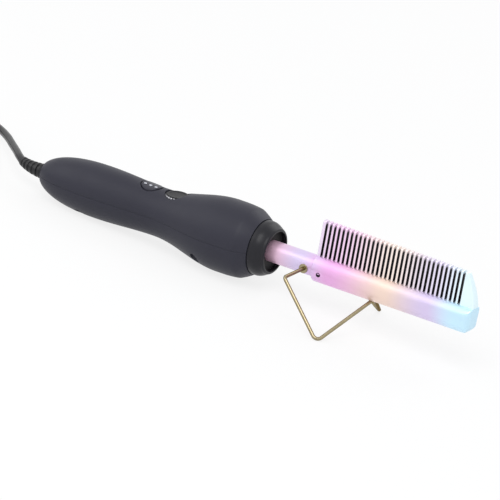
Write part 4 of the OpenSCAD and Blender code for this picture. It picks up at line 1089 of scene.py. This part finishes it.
class HEATEDCOMB_OT_handle(bpy.types.Operator):
    """Make the two moulded halves of the handle, with the wells of the button, the
    dial and the screws"""
    bl_idname = "heated_comb.handle"
    bl_label = "Handle"

    def execute(self, context):
        c = context.scene.heated_comb.controls
        dial = c.dial_d / 2 + DIAL_GAP
        button = c.button_d / 2 + c.button_gap
        self.half(1, [((BUTTON_X, 0.0), button, "button"), ((DIAL_X, 0.0), dial, "dial")],
                  "upper_shell")
        self.half(-1, [(p, SCREW_WELL_R, "screw") for p in SCREWS_AT], "lower_shell")
        return {"FINISHED"}

    def half(self, side, wells, node):
        """One half of the handle: its outer and inner faces with the wells cut out, the
        patches and walls of the wells, and the faces that close the wall."""
        sizes = bpy.context.scene.heated_comb.handle
        m = ShellMaker(sizes, side)
        x_in = np.concatenate([[TAIL_X + TAIL_WALL],
                               m.x[m.x > TAIL_X + TAIL_WALL + 0.4 * MM]])
        x_in = np.concatenate([x_in[x_in < INNER_LAST_X], [INNER_END_X]])
        inner_of = {"button": BUTTON_BORE_R, "dial": DIAL_POCKET_R}
        boxes = [m.box_round(m.x, p, r, m.outer) for p, r, _ in wells]
        through = [(p, inner_of[kind], kind) for p, _, kind in wells if kind in inner_of]
        boxes_in = [m.box_round(x_in, p, r, m.inner) for p, r, _ in through]
        m.band(m.x, m.outer(m.x), boxes, True)
        m.band(x_in, m.inner(x_in), boxes_in, False)
        ends = {}
        for (p, r, kind), box in zip(wells, boxes):
            ends[p, kind, 0] = self.edge_of(m, m.x, p, r + 0.3 * MM, box, m.outer)
        for (p, r, kind), box in zip(through, boxes_in):
            ends[p, kind, 1] = self.edge_of(m, x_in, p, r, box, m.inner)
        for p, r, kind in wells:
            self.sink(m, p, r, kind, ends)
        self.close(m, x_in)
        comb_piece("handle_" + ("top" if side > 0 else "base"), m.parts, "comb",
                   "handle_plastic", node, sharp=32)

    def edge_of(self, m, x, p, radius, box, surface):
        """Adds the patch round a well, and returns its circle's angles."""
        r0, r1, c0, c1 = box
        rings, turn = well(p, (x[r0:r1 + 1], m.angles[c0:c1 + 1]), radius, surface)
        flat = rings.reshape(-1, 2)
        points = m.at(flat[:, 0], flat[:, 1], surface(flat[:, 0]))
        m.parts.append((points, grid_faces(len(rings), len(turn), False, True)))
        return turn

    def level(self, m, p, turn, radius, surface, sink=0.0):
        """A ring of a well's circle that lies on a surface, or a little under it."""
        x, y = p[0] + radius * np.cos(turn), p[1] + radius * np.sin(turn)
        z = np.sqrt(np.maximum(surface(x) ** 2 - y ** 2, 0)) - sink
        return np.stack([x, y, m.side * z], 1)

    def flat_ring(self, m, p, turn, radius, z):
        """A ring of a well's circle at one height."""
        return np.stack([p[0] + radius * np.cos(turn), p[1] + radius * np.sin(turn),
                         np.full(len(turn), m.side * z)], 1)

    def sink(self, m, p, r, kind, ends):
        """The walls of one well: a rounded rim, then down and in to what closes it."""
        turn = ends[p, kind, 0]
        rings = [self.level(m, p, turn, r + k * MM, m.outer, d * MM)
                 for k, d in ((0.3, 0), (0.12, 0.04), (0.03, 0.14), (0.0, 0.3))]
        if kind == "button":
            bore = BUTTON_BORE_R
            rings += [self.level(m, p, turn, r, m.outer, BUTTON_LEDGE),
                      self.level(m, p, turn, bore, m.outer, BUTTON_LEDGE),
                      self.level(m, p, turn, bore, m.inner)]
        elif kind == "dial":
            bore, under = DIAL_POCKET_R, DIAL_FLOOR_Z - DIAL_FLOOR_T
            rings += [self.flat_ring(m, p, turn, q, z)
                      for q, z in ((r, DIAL_FLOOR_Z), (SHAFT_BORE_R, DIAL_FLOOR_Z),
                                   (SHAFT_BORE_R, under), (bore, under))]
            rings.append(self.level(m, p, turn, bore, m.inner))
        else:
            bore = None
            rings += [self.flat_ring(m, p, turn, q, z)
                      for q, z in ((r, SCREW_SEAT_Z), (SCREW_HOLE_R, SCREW_SEAT_Z),
                                   (SCREW_HOLE_R, SCREW_END_Z), (0, SCREW_END_Z))]
        m.rings(rings)
        if bore:
            self.zip_up(m, p, turn, ends[p, kind, 1], bore)

    def zip_up(self, m, p, turn, other, radius):
        """Triangles between two rings of one circle whose points lie at different
        angles: in order of angle, each point steps its own ring on by one."""
        a, b = np.sort(turn), np.sort(other)
        order = np.argsort(np.concatenate([a, b]), kind="stable")
        first = order < len(a)
        i, j = np.cumsum(first) - 1, np.cumsum(~first) - 1
        i, j = i % len(a), j % len(b) + len(a)
        back = np.where(first, (i - 1) % len(a), (j - len(a) - 1) % len(b) + len(a))
        faces = np.stack([back, np.where(first, i, j), np.where(first, j, i)], 1)
        points = self.level(m, p, np.concatenate([a, b]), radius, m.inner)
        m.parts.append((points, faces))

    def close(self, m, x_in):
        """The tail's end wall, the spigot at the front, and the parting faces."""
        a, s = m.angles, m.s
        outer, inner = m.outer(m.x), m.inner(x_in)
        back, ahead = BUSH_BACK_X - 0.1 * MM, SEAM_X + SPIGOT_L
        tail = [(TAIL_X, outer[0]), (TAIL_X, TAIL_BORE_R), (TAIL_X + TAIL_WALL, TAIL_BORE_R),
                (x_in[0], inner[0])]
        front = [(x_in[-1], inner[-1]), (x_in[-1], TUBE_BORE_R), (back, TUBE_BORE_R),
                 (back, BUSH_R), (ahead, BUSH_R), (ahead, SPIGOT_R), (SEAM_X, SPIGOT_R),
                 (SEAM_X, outer[-1])]
        for line, edge in ((tail, outer[0]), (front, outer[-1])):
            line = np.array(line)
            points = m.at(line[:, :1], a[None], line[:, 1:])
            points[:, [0, -1], 2] = m.side * s.parting
            for row in (0, -1):
                if abs(line[row, 1] - edge) < 1e-9:
                    y = points[row, [0, -1], 1]
                    points[row, [0, -1], 1] = y - np.sign(y) * s.parting_depth
            m.parts.append((points.reshape(-1, 3), grid_faces(len(line), len(a))))
        for k in (-1, 1):
            r_out = outer - s.parting_depth
            loop = np.concatenate([
                np.stack([m.x, r_out], 1), np.array(front)[::-1][1:-1],
                np.stack([x_in[::-1], inner[::-1]], 1), np.array(tail)[::-1][1:-1]])
            points = np.stack([loop[:, 0], k * loop[:, 1],
                               np.full(len(loop), m.side * s.parting)], 1)
            m.parts.append((points, [list(range(len(loop)))]))


class HEATEDCOMB_OT_front_ring(bpy.types.Operator):
    """Make the tapered ring at the handle's front, with its rolled rim and open
    mouth"""
    bl_idname = "heated_comb.front_ring"
    bl_label = "Front Ring"

    def execute(self, context):
        s = context.scene.heated_comb.handle
        step_in, swell, roll_r = 0.4 * MM, 0.9 * MM, 1.4 * MM
        rear = handle_radius(np.array([SEAM_X]), s)[0] - step_in
        rim, mouth = s.rim_d / 2, s.mouth_d / 2
        # A straight taper with half a sine wave on it, a round rim, and the steps inside.
        t = np.linspace(0, 1, 26)
        x0, x1 = SEAM_X + 0.7 * MM, RIM_X - roll_r
        bulge = np.stack([x0 + (x1 - x0) * t,
                          rear + (rim - rear) * t + swell * np.sin(np.pi * t)], 1)
        a = np.radians(np.linspace(80, -20, 14))
        roll = np.stack([x1 + roll_r * np.cos(a), rim - roll_r + roll_r * np.sin(a)], 1)
        back, seat, bore = SEAM_X + 0.2 * MM, SEAM_X + 5.1 * MM, SPIGOT_R + 0.04 * MM
        lip = rounded(np.array([[RIM_X - 0.2 * MM, mouth + 0.12 * MM],
                                [RIM_X - 0.9 * MM, mouth], [seat, mouth], [seat, bore],
                                [back, bore], [back, rear - 0.6 * MM],
                                [back + 0.1 * MM, rear - 0.1 * MM]]), 0.1 * MM, 2, False)
        comb_piece("mouth_ring", [turned(np.concatenate([bulge, roll, lip]), 144)], "comb",
                   "ring_plastic", "front_ring")
        return {"FINISHED"}


# ---------------------------------------------------------------- controls

class HEATEDCOMB_OT_controls(bpy.types.Operator):
    """Make the power button with its three pips, and the knurled dial"""
    bl_idname = "heated_comb.controls"
    bl_label = "Button and Dial"

    def execute(self, context):
        s = context.scene.heated_comb
        self.button(s.controls, s.handle)
        self.pips(s.controls, s.handle)
        self.dial(s.controls)
        return {"FINISHED"}

    def cap_top(self, x, y, handle):
        """Height of the button's top: the handle's round, a little larger."""
        return np.sqrt((handle_radius(x, handle) + BUTTON_PROUD) ** 2 - y ** 2)

    def button(self, s, handle):
        """A cap whose top follows the handle, dished in the middle and rounded at its
        edge, over a skirt, a flange and a stem."""
        r = s.button_d / 2
        # Shares of the radius at which the dish ends and the edge's round starts.
        dish_end, round_from, round_w, round_r = 0.9, 0.93, 0.07, 0.4 * MM
        ring = np.concatenate([np.linspace(0, 0.94, 22), np.linspace(0.95, 1.0, 7)]) * r
        a = angles_round(96)
        x, y = BUTTON_X + np.outer(ring, np.cos(a)), np.outer(ring, np.sin(a))
        u = ring / r
        dish = s.button_dish * np.clip(1 - (u / dish_end) ** 2, 0, 1)
        edge = np.clip((u - round_from) / round_w, 0, 1)
        drop = dish + round_r * (1 - np.sqrt(1 - edge ** 2))
        top = np.stack([x, y, self.cap_top(x, y, handle) - drop[:, None]], -1)
        flange, under, stem_end = 9.63, 9.63 - 1.4, 3.7
        profile = np.array([[flange, 6.2], [flange, 7.2], [under, 7.2], [under, 1.6],
                            [stem_end, 1.6], [stem_end, 0]]) * MM
        low = grid_points(BUTTON_X + profile[:, 1:] * np.cos(a), profile[:, 1:] * np.sin(a),
                          profile[:, :1])
        points = np.concatenate([top, low])
        comb_piece("button_cap", [(points, grid_faces(len(points), len(a), False, True))],
                   "button", "button_plastic", "power_button", sharp=40)

    def pips(self, s, handle):
        """Three small lenses in the button's top, each a dome whose height and radius
        are an angle's cosine and sine, on a straight stem."""
        parts, stem_l = [], 3 * MM
        b = np.linspace(0.01, PIP_ANGLE, 8)
        for i in (-1, 0, 1):
            cx, cy, r = BUTTON_X + i * PIP_PITCH, PIP_ASIDE, s.pip_d / 2
            top = float(self.cap_top(np.array(cx), cy, handle)) + 0.02 * MM
            dome = np.stack([top - PIP_DOME * (1 - np.cos(b)) + 0.1 * MM,
                             r * np.sin(b) / np.sin(PIP_ANGLE)], 1)
            profile = np.concatenate([dome, [(top - stem_l, r), (top - stem_l, 0.001 * MM)]])
            parts.append(turned(profile, 32, (cx, cy, 0), (0, 0, 1), (1, 0, 0)))
        comb_piece("pip_lenses", parts, "button", "pip_lens", "light_pips")

    def dial(self, s):
        """A disc whose side is cut by round grooves: the radius falls in a narrow
        cosine notch at each knurl, and fades over the bevelled top edge."""
        a = angles_round(s.knurls * 12)
        notch = np.clip(np.cos(s.knurls * a + np.pi) * 1.6 - 0.6, 0, 1)
        hub, full = 3.0, 7.3
        # Height above the foot or depth below the top, radius, share of the grooves.
        foot = ((hub, 3.05, 0), (0, 3.05, 0), (0, 7.0, 0.6), (0.2, full, 1))
        head = ((0.9, full, 1), (0.62, 7.22, 1), (0.42, 7.0, 0.9), (0.2, 6.75, 0.5),
                (0.05, 6.5, 0.15), (0, 6.2, 0), (0.02, 5.4, 0), (0.25, 5.0, 0),
                (0.32, 4.5, 0), (0.35, 2.0, 0), (0.35, 0.001, 0))
        rows = np.array([(DIAL_LOW_Z + h * MM, q, g) for h, q, g in foot]
                        + [(DIAL_TOP_Z - h * MM, q, g) for h, q, g in head]
                        + [(DIAL_LOW_Z + hub * MM, 0.001, 0)])
        height, radius, share = rows.T[:, :, None]
        radius = radius / full * s.dial_d / 2 - share * notch * s.knurl_depth
        points = grid_points(DIAL_X + radius * np.cos(a), radius * np.sin(a), height)
        comb_piece("dial_cap", [(points, grid_faces(len(rows), len(a), True, True))], "dial",
                   "dial_black", "temperature_dial", sharp=50)


# ---------------------------------------------------------------- comb head

class HEATEDCOMB_OT_shank(bpy.types.Operator):
    """Make the film-coloured shank tube"""
    bl_idname = "heated_comb.shank"
    bl_label = "Shank"

    def execute(self, context):
        s = context.scene.heated_comb.head
        r = s.shank_d / 2 / MM
        # Distance along the comb and radius: the tube, and the stub inside the bar.
        outline = np.array([[-50.8, 4.9], [-50.8, r], [7, r], [7, 5.0], [16.4, 5.0],
                            [16.4, 3.6], [-5.9, 3.6], [-5.9, 4.9]])
        profile = rounded(outline, [0, 0.3, 0.25, 0.1, 0.2, 0, 0, 0], 3) * MM
        profile = np.concatenate([profile[:5], np.stack([np.linspace(-49, 6, 56) * MM,
                                  np.full(56, r * MM)], 1), profile[5:]])
        comb_piece("shank", [turned(profile, 128)], "comb",
                   film_metal("shank_film", 0.03, 1.2), "shank_tube", sharp=40)
        return {"FINISHED"}


class HEATEDCOMB_OT_comb_head(bpy.types.Operator):
    """Make the comb bar and its teeth"""
    bl_idname = "heated_comb.comb_head"
    bl_label = "Comb Bar and Teeth"

    def execute(self, context):
        s = context.scene.heated_comb.head
        root_z = np.sqrt((s.bar_d / 2) ** 2 - (s.root_w / 2 + 0.2 * MM) ** 2)
        self.bar(s, root_z)
        self.teeth(s, root_z)
        self.screw(s)
        return {"FINISHED"}

    def screw(self, s):
        """The small screw that locks the bar to the shank, with a dished drive hole."""
        z = PIVOT[2]
        face = np.sqrt((s.bar_d / 2) ** 2 - z ** 2) / MM
        outline = np.array([[face - 3.2, 0], [face - 3.2, 1.38], [face + 0.16, 1.38],
                            [face + 0.16, 0.85], [face + 0.03, 0.75], [face + 0.02, 0]])
        profile = rounded(outline, [0, 0, 0.2, 0.08, 0.05, 0], 4, False) * MM
        head = turned(profile, 48, (SPINE_X + 5.1 * MM, 0, z), (0, -1, 0), (1, 0, 0), False)
        comb_piece("lock_screw", [head], "comb", "dark_screw", "comb_screw")

    def bar(self, s, root_z):
        """A round bar clipped softly by a flat underneath, a flat on top, and at the
        tip by round corners below and at both sides; its sides also narrow evenly
        towards the tip, whose end leans back. Then come its end cap and its bores."""
        r, land, tip, steps = s.bar_d / 2, -s.bar_d / 2 + LAND, TIP_X, 180
        under_l, soft_l, soft, lean_by = 4.6 * MM, 7 * MM, 1.3 * MM, 0.6 * MM
        middle_x, half_l, narrower = 57 * MM, 50 * MM, 1 * MM
        x = np.concatenate([[SPINE_X, SPINE_X + 0.12 * MM, SPINE_X + 0.4 * MM],
                            np.linspace(SPINE_X + 1 * MM, tip - TIP_L, 90),
                            tip - TIP_L * np.cos(np.linspace(0, np.pi / 2, 30))[1:]])
        end_in = np.zeros(len(x))
        end_in[:3] = np.array([0.35, 0.12, 0.0]) * MM
        back = np.clip(x - (tip - under_l), 0, TIP_ROUND_END)
        low = land + TIP_ROUND - np.sqrt(TIP_ROUND ** 2 - back ** 2)
        side = r + np.clip((middle_x - x) / half_l, -1, 1) * narrower
        near = np.clip(x - (tip - TIP_ROUND), 0, TIP_ROUND_END)
        side = side - (TIP_ROUND - np.sqrt(TIP_ROUND ** 2 - near ** 2))
        a = angles_round(steps)
        y = (r - end_in[:, None]) * np.cos(a)
        z = (r - end_in[:, None]) * np.sin(a)
        edge = s.edge + soft * np.clip((x[:, None] - tip + soft_l) / soft_l, 0, 1) ** 2
        z = soft_clip(z, root_z - end_in[:, None] * 0.3, edge)
        z = -soft_clip(-z, -(low + end_in)[:, None], edge)
        y = np.sign(y) * soft_clip(np.abs(y), side[:, None], edge)
        lean = lean_by * np.clip((4 * MM - z) / (8 * MM), 0, 1) * np.clip(
            (x[:, None] - tip + TIP_L) / TIP_L, 0, 1) ** 2
        points = grid_points(x[:, None] - lean, y, z)
        rim = points[-1]
        middle = rim.mean(0)
        cap = np.concatenate([middle + (rim - middle) * k for k in (1.0, 0.9, 0.5)]
                             + [middle[None]])
        cap_faces = grid_faces(3, steps, False, True).tolist() \
            + [[2 * steps + i, 2 * steps + (i + 1) % steps, 3 * steps] for i in range(steps)]
        bores = [grid_points(bx, br * np.cos(a), br * np.sin(a))
                 for bx, br in ((SPINE_X, SHANK_BORE_R), (SHANK_BORE_END, SHANK_BORE_R),
                                (SHANK_BORE_END, HEATER_BORE_R),
                                (HEATER_BORE_END, HEATER_BORE_R), (HEATER_BORE_END, 0.0))]
        comb_piece("comb_bar", [(points, grid_faces(len(x), steps, False, True)),
                                (cap, cap_faces),
                                (np.stack([points[0], *bores]),
                                 grid_faces(len(bores) + 1, steps, False, True))],
                   "comb", film_metal("bar_film", 0.05, 0.4), "comb_spine", sharp=50)

    def teeth(self, s, root_z):
        """The row of teeth, one for each step of the pitch, and the guard at the tip;
        the gaps' facing sides get painted shade, darkest deep in the gaps."""
        tooth_w = s.pitch - s.gap
        first_gap = SPINE_X + FIRST_GAP
        starts = first_gap + np.arange(1, s.gaps) * s.pitch - s.gap / 2 - tooth_w
        starts = np.concatenate([[SPINE_X], starts])
        widths = np.concatenate([[first_gap - s.gap / 2 - SPINE_X],
                                 np.full(s.gaps - 1, tooth_w)])
        parts = [self.tooth(x0, w, self.top_at(x0, s, root_z), s, root_z)
                 for x0, w in zip(starts, widths)]
        guard_x = first_gap + (s.gaps - 1) * s.pitch + s.gap / 2
        parts.append(self.guard(guard_x, self.top_at(guard_x, s, root_z), s, root_z))
        ends = on_table([[x, 0, self.top_at(x, s, root_z)] for x in (SPINE_X, TIP_X)])
        slope = (ends[1, 2] - ends[0, 2]) / (ends[1, 0] - ends[0, 0])
        # Where the painted shade in the gaps starts and ends along the comb, and the sloping
        # line near the teeth's tops where it fades out
        gaps = {"First": float(on_table([SPINE_X + 1 * MM, 0, 0]) @ LEAN),
                "Limit": float(on_table([guard_x + 0.4 * MM, 0, 0]) @ LEAN),
                "Top": float(ends[0, 2] - slope * ends[0, 0]), "Slope": float(slope)}
        comb_piece("comb_row", parts, "comb",
                   film_metal("teeth_film", 0.04, 0.25, gap_shade_settings=gaps, pale=0.4),
                   "comb_teeth", sharp=40)

    def top_at(self, x, s, root_z):
        """Height of the teeth's tops, which fall evenly towards the tip."""
        return root_z + s.tooth_l - s.tooth_fall * (x - SPINE_X) / TEETH_L

    def section(self, top, s, root_z, less=0.0):
        """Outline of a tooth seen along the comb: a taper with round shoulders."""
        r, t, shoulder = s.root_w / 2 - less, s.tip_w / 2 - less, 1.1 * MM
        low = root_z - ROOT_SUNK
        corners = np.array([[-r, low], [r, low], [t, top - less], [-t, top - less]])
        return rounded(corners, [0, 0, shoulder, shoulder], 5)

    def tooth(self, x0, w, top, s, root_z):
        """A tapered wedge with a rounded top, whose outline is a little smaller at both
        faces, as (distance in from the face, how much smaller)."""
        ends = ((0, 0.14 * MM), (0.04 * MM, 0.05 * MM), (0.14 * MM, 0.0))
        rows = [(x0 + d, less) for d, less in ends] + [(x0 + w - d, less)
                                                       for d, less in reversed(ends)]
        outlines = [self.section(top, s, root_z, less) for _, less in rows]
        return capped([np.column_stack([np.full(len(o), x), o])
                       for (x, _), o in zip(rows, outlines)])

    def guard(self, x0, top, s, root_z):
        """Level outlines of the guard: flat at the gap, with a round nose that moves
        back towards the top."""
        nose_in, top_l, back_power, foot = 0.05 * MM, 1.6 * MM, 1.6, 0.7 * MM
        t = np.concatenate([np.linspace(0, 0.94, 20), [0.965, 0.985, 0.996, 1.0]])
        inset = np.concatenate([np.zeros(20), [0.08, 0.25, 0.5, 0.9]]) * MM
        nose = TIP_X - nose_in - (TIP_X - x0 - top_l) * t ** back_power - inset
        half = s.root_w / 2 + (s.tip_w - s.root_w) / 2 * t - inset
        z = root_z - ROOT_SUNK + (top - root_z + ROOT_SUNK) * t
        z[0] -= foot
        gap_x, gap_r = x0 + 0.1 * MM, 0.12 * MM
        levels = []
        for n, h, level in zip(nose, half, z):
            nose_r = min(1.4 * MM, h * 0.9)
            o = rounded([[gap_x, -h], [n, -h], [n, h], [gap_x, h]],
                        [gap_r, nose_r, nose_r, gap_r], 6)
            levels.append(np.column_stack([o, np.full(len(o), level)]))
        return capped(levels)


# ---------------------------------------------------------------- stand

class HEATEDCOMB_OT_stand(bpy.types.Operator):
    """Make the folding wire stand and its two pivot bushes"""
    bl_idname = "heated_comb.stand"
    bl_label = "Wire Stand"

    def execute(self, context):
        s, head = context.scene.heated_comb.stand, context.scene.heated_comb.head
        r = s.wire_d / 2
        px, pz = PIVOT[0], PIVOT[2]
        seat_y = head.shank_d / 2 - 0.15 * MM
        start_y = seat_y + 0.9 * MM
        bridge_z = -head.bar_d / 2 + LAND - r + 0.4 * MM
        # The wire's middle line on one side: start, corner, foot and bridge. It is joined
        # to its mirror image, and each corner gets its own round bend.
        half = np.array([[px, start_y, pz], [px, s.corner_w / 2, pz],
                         [px + s.foot_ahead, s.foot_w / 2, pz - s.foot_drop],
                         [px + s.bridge_ahead, s.bridge_w / 2, bridge_z]])
        path = bent(np.concatenate([half, half[::-1] * [1, -1, 1]]),
                    np.array([2.5, 3, 2, 2, 3, 2.5]) * MM)
        # The wire's ends are a little thinner where they run in the bushes.
        end = np.array([[px, seat_y - 2.1 * MM, pz], [px, seat_y + 0.75 * MM, pz],
                        [px, start_y - 0.01 * MM, pz]])
        thin = r - np.array([0.1, 0.1, 0.02]) * MM
        radii = np.concatenate([thin, np.full(len(path), r), thin[::-1]])
        whole = np.concatenate([end, path, end[::-1] * [1, -1, 1]])
        comb_piece("wire_stand", [swept(whole, radii, 24, up=(0.35, 0.2, 1.0))], "stand",
                   "brass_wire", "stand_wire", sharp=60)

        # Each bush is a flanged sleeve turned round the pivot's axis.
        back, rim, face = seat_y / MM - 2.5, seat_y / MM + 0.04, seat_y / MM + 0.74
        outline = np.array([[back, 1.01], [back, 2.0], [rim, 2.0], [rim, 2.75],
                            [face, 2.75], [face, 1.01]])
        profile = rounded(outline, [0.1, 0.2, 0.05, 0.1, 0.3, 0.12], 4) * MM
        comb_piece("bushes", [turned(profile, 64, (px, 0, pz), (0, side, 0), (1, 0, 0))
                              for side in (1, -1)], "comb", "brass_wire", "pivot_bushes")
        return {"FINISHED"}


# ---------------------------------------------------------------- inner pieces

KEPT = {
    "insulator_bush": "insulator", "tube_flange": "plain_brass",
    "shell_screws": "dark_screw", "heater_rod": "bright_steel",
    "heater_terminal": "ceramic", "heater_leads": "red_insulation",
    "thermal_fuse": "bright_steel", "heat_sensor": "brown_resin",
    "circuit_board": "board_green", "board_screws": "bright_steel",
    "board_components": "slate_case", "indicator_leds": "green_lamp",
    "switch_body": "gloss_black",
    "switch_plunger": "red_insulation", "dial_potentiometer": "blue_insulation",
    "dial_shaft": "bright_steel", "swivel_spindle": "tan_nylon", "slip_rings": "plain_brass",
    "brush_holder": "tan_nylon", "brush_contacts": "plain_brass",
    "supply_leads": "blue_insulation",
}


class HEATEDCOMB_OT_insides(bpy.types.Operator):
    """Give the inner pieces and fasteners, whose solids stay, their finishes"""
    bl_idname = "heated_comb.insides"
    bl_label = "Inner Pieces"

    def execute(self, context):
        for node, kind in KEPT.items():
            slots = frame["nodes"][node].data.materials
            finish = named_finish(kind)
            for i in range(len(slots)):
                slots[i] = finish
            if not len(slots):
                slots.append(finish)
        return {"FINISHED"}


class HEATEDCOMB_PT_panel(bpy.types.Panel):
    """Lists the heated comb's pieces and settings"""
    bl_label = "Heated Comb"
    bl_idname = "HEATEDCOMB_PT_panel"
    bl_space_type = "VIEW_3D"
    bl_region_type = "UI"
    bl_category = "Heated Comb"

    def draw(self, context):
        for op in OPERATORS:
            self.layout.operator(op.bl_idname)
        settings = context.scene.heated_comb
        for part in ("handle", "controls", "head", "stand", "cord", "colours", "stage"):
            box = self.layout.box()
            box.label(text=part.capitalize())
            values = getattr(settings, part)
            for key in type(values).__annotations__:
                box.prop(values, key)


SETTINGS = (HandleSizes, ControlSizes, HeadSizes, StandSizes, CordSizes, Colours, StageSettings,
            CombSettings)
OPERATORS = (HEATEDCOMB_OT_stage, HEATEDCOMB_OT_cord, HEATEDCOMB_OT_strain_relief,
             HEATEDCOMB_OT_handle, HEATEDCOMB_OT_front_ring, HEATEDCOMB_OT_controls,
             HEATEDCOMB_OT_shank, HEATEDCOMB_OT_comb_head, HEATEDCOMB_OT_stand,
             HEATEDCOMB_OT_insides)
CLASSES = SETTINGS + OPERATORS + (HEATEDCOMB_PT_panel,)


def register():
    """Registers the settings, the operators and the panel."""
    for cls in CLASSES:
        bpy.utils.register_class(cls)
    bpy.types.Scene.heated_comb = PointerProperty(type=CombSettings)


def unregister():
    """Removes what register added."""
    del bpy.types.Scene.heated_comb
    for cls in reversed(CLASSES):
        bpy.utils.unregister_class(cls)


def main():
    """Builds every piece in order."""
    register()
    for op in OPERATORS:
        kind, name = op.bl_idname.split(".")
        getattr(getattr(bpy.ops, kind), name)()
    bpy.context.view_layer.update()


if __name__ == "__main__":
    main()
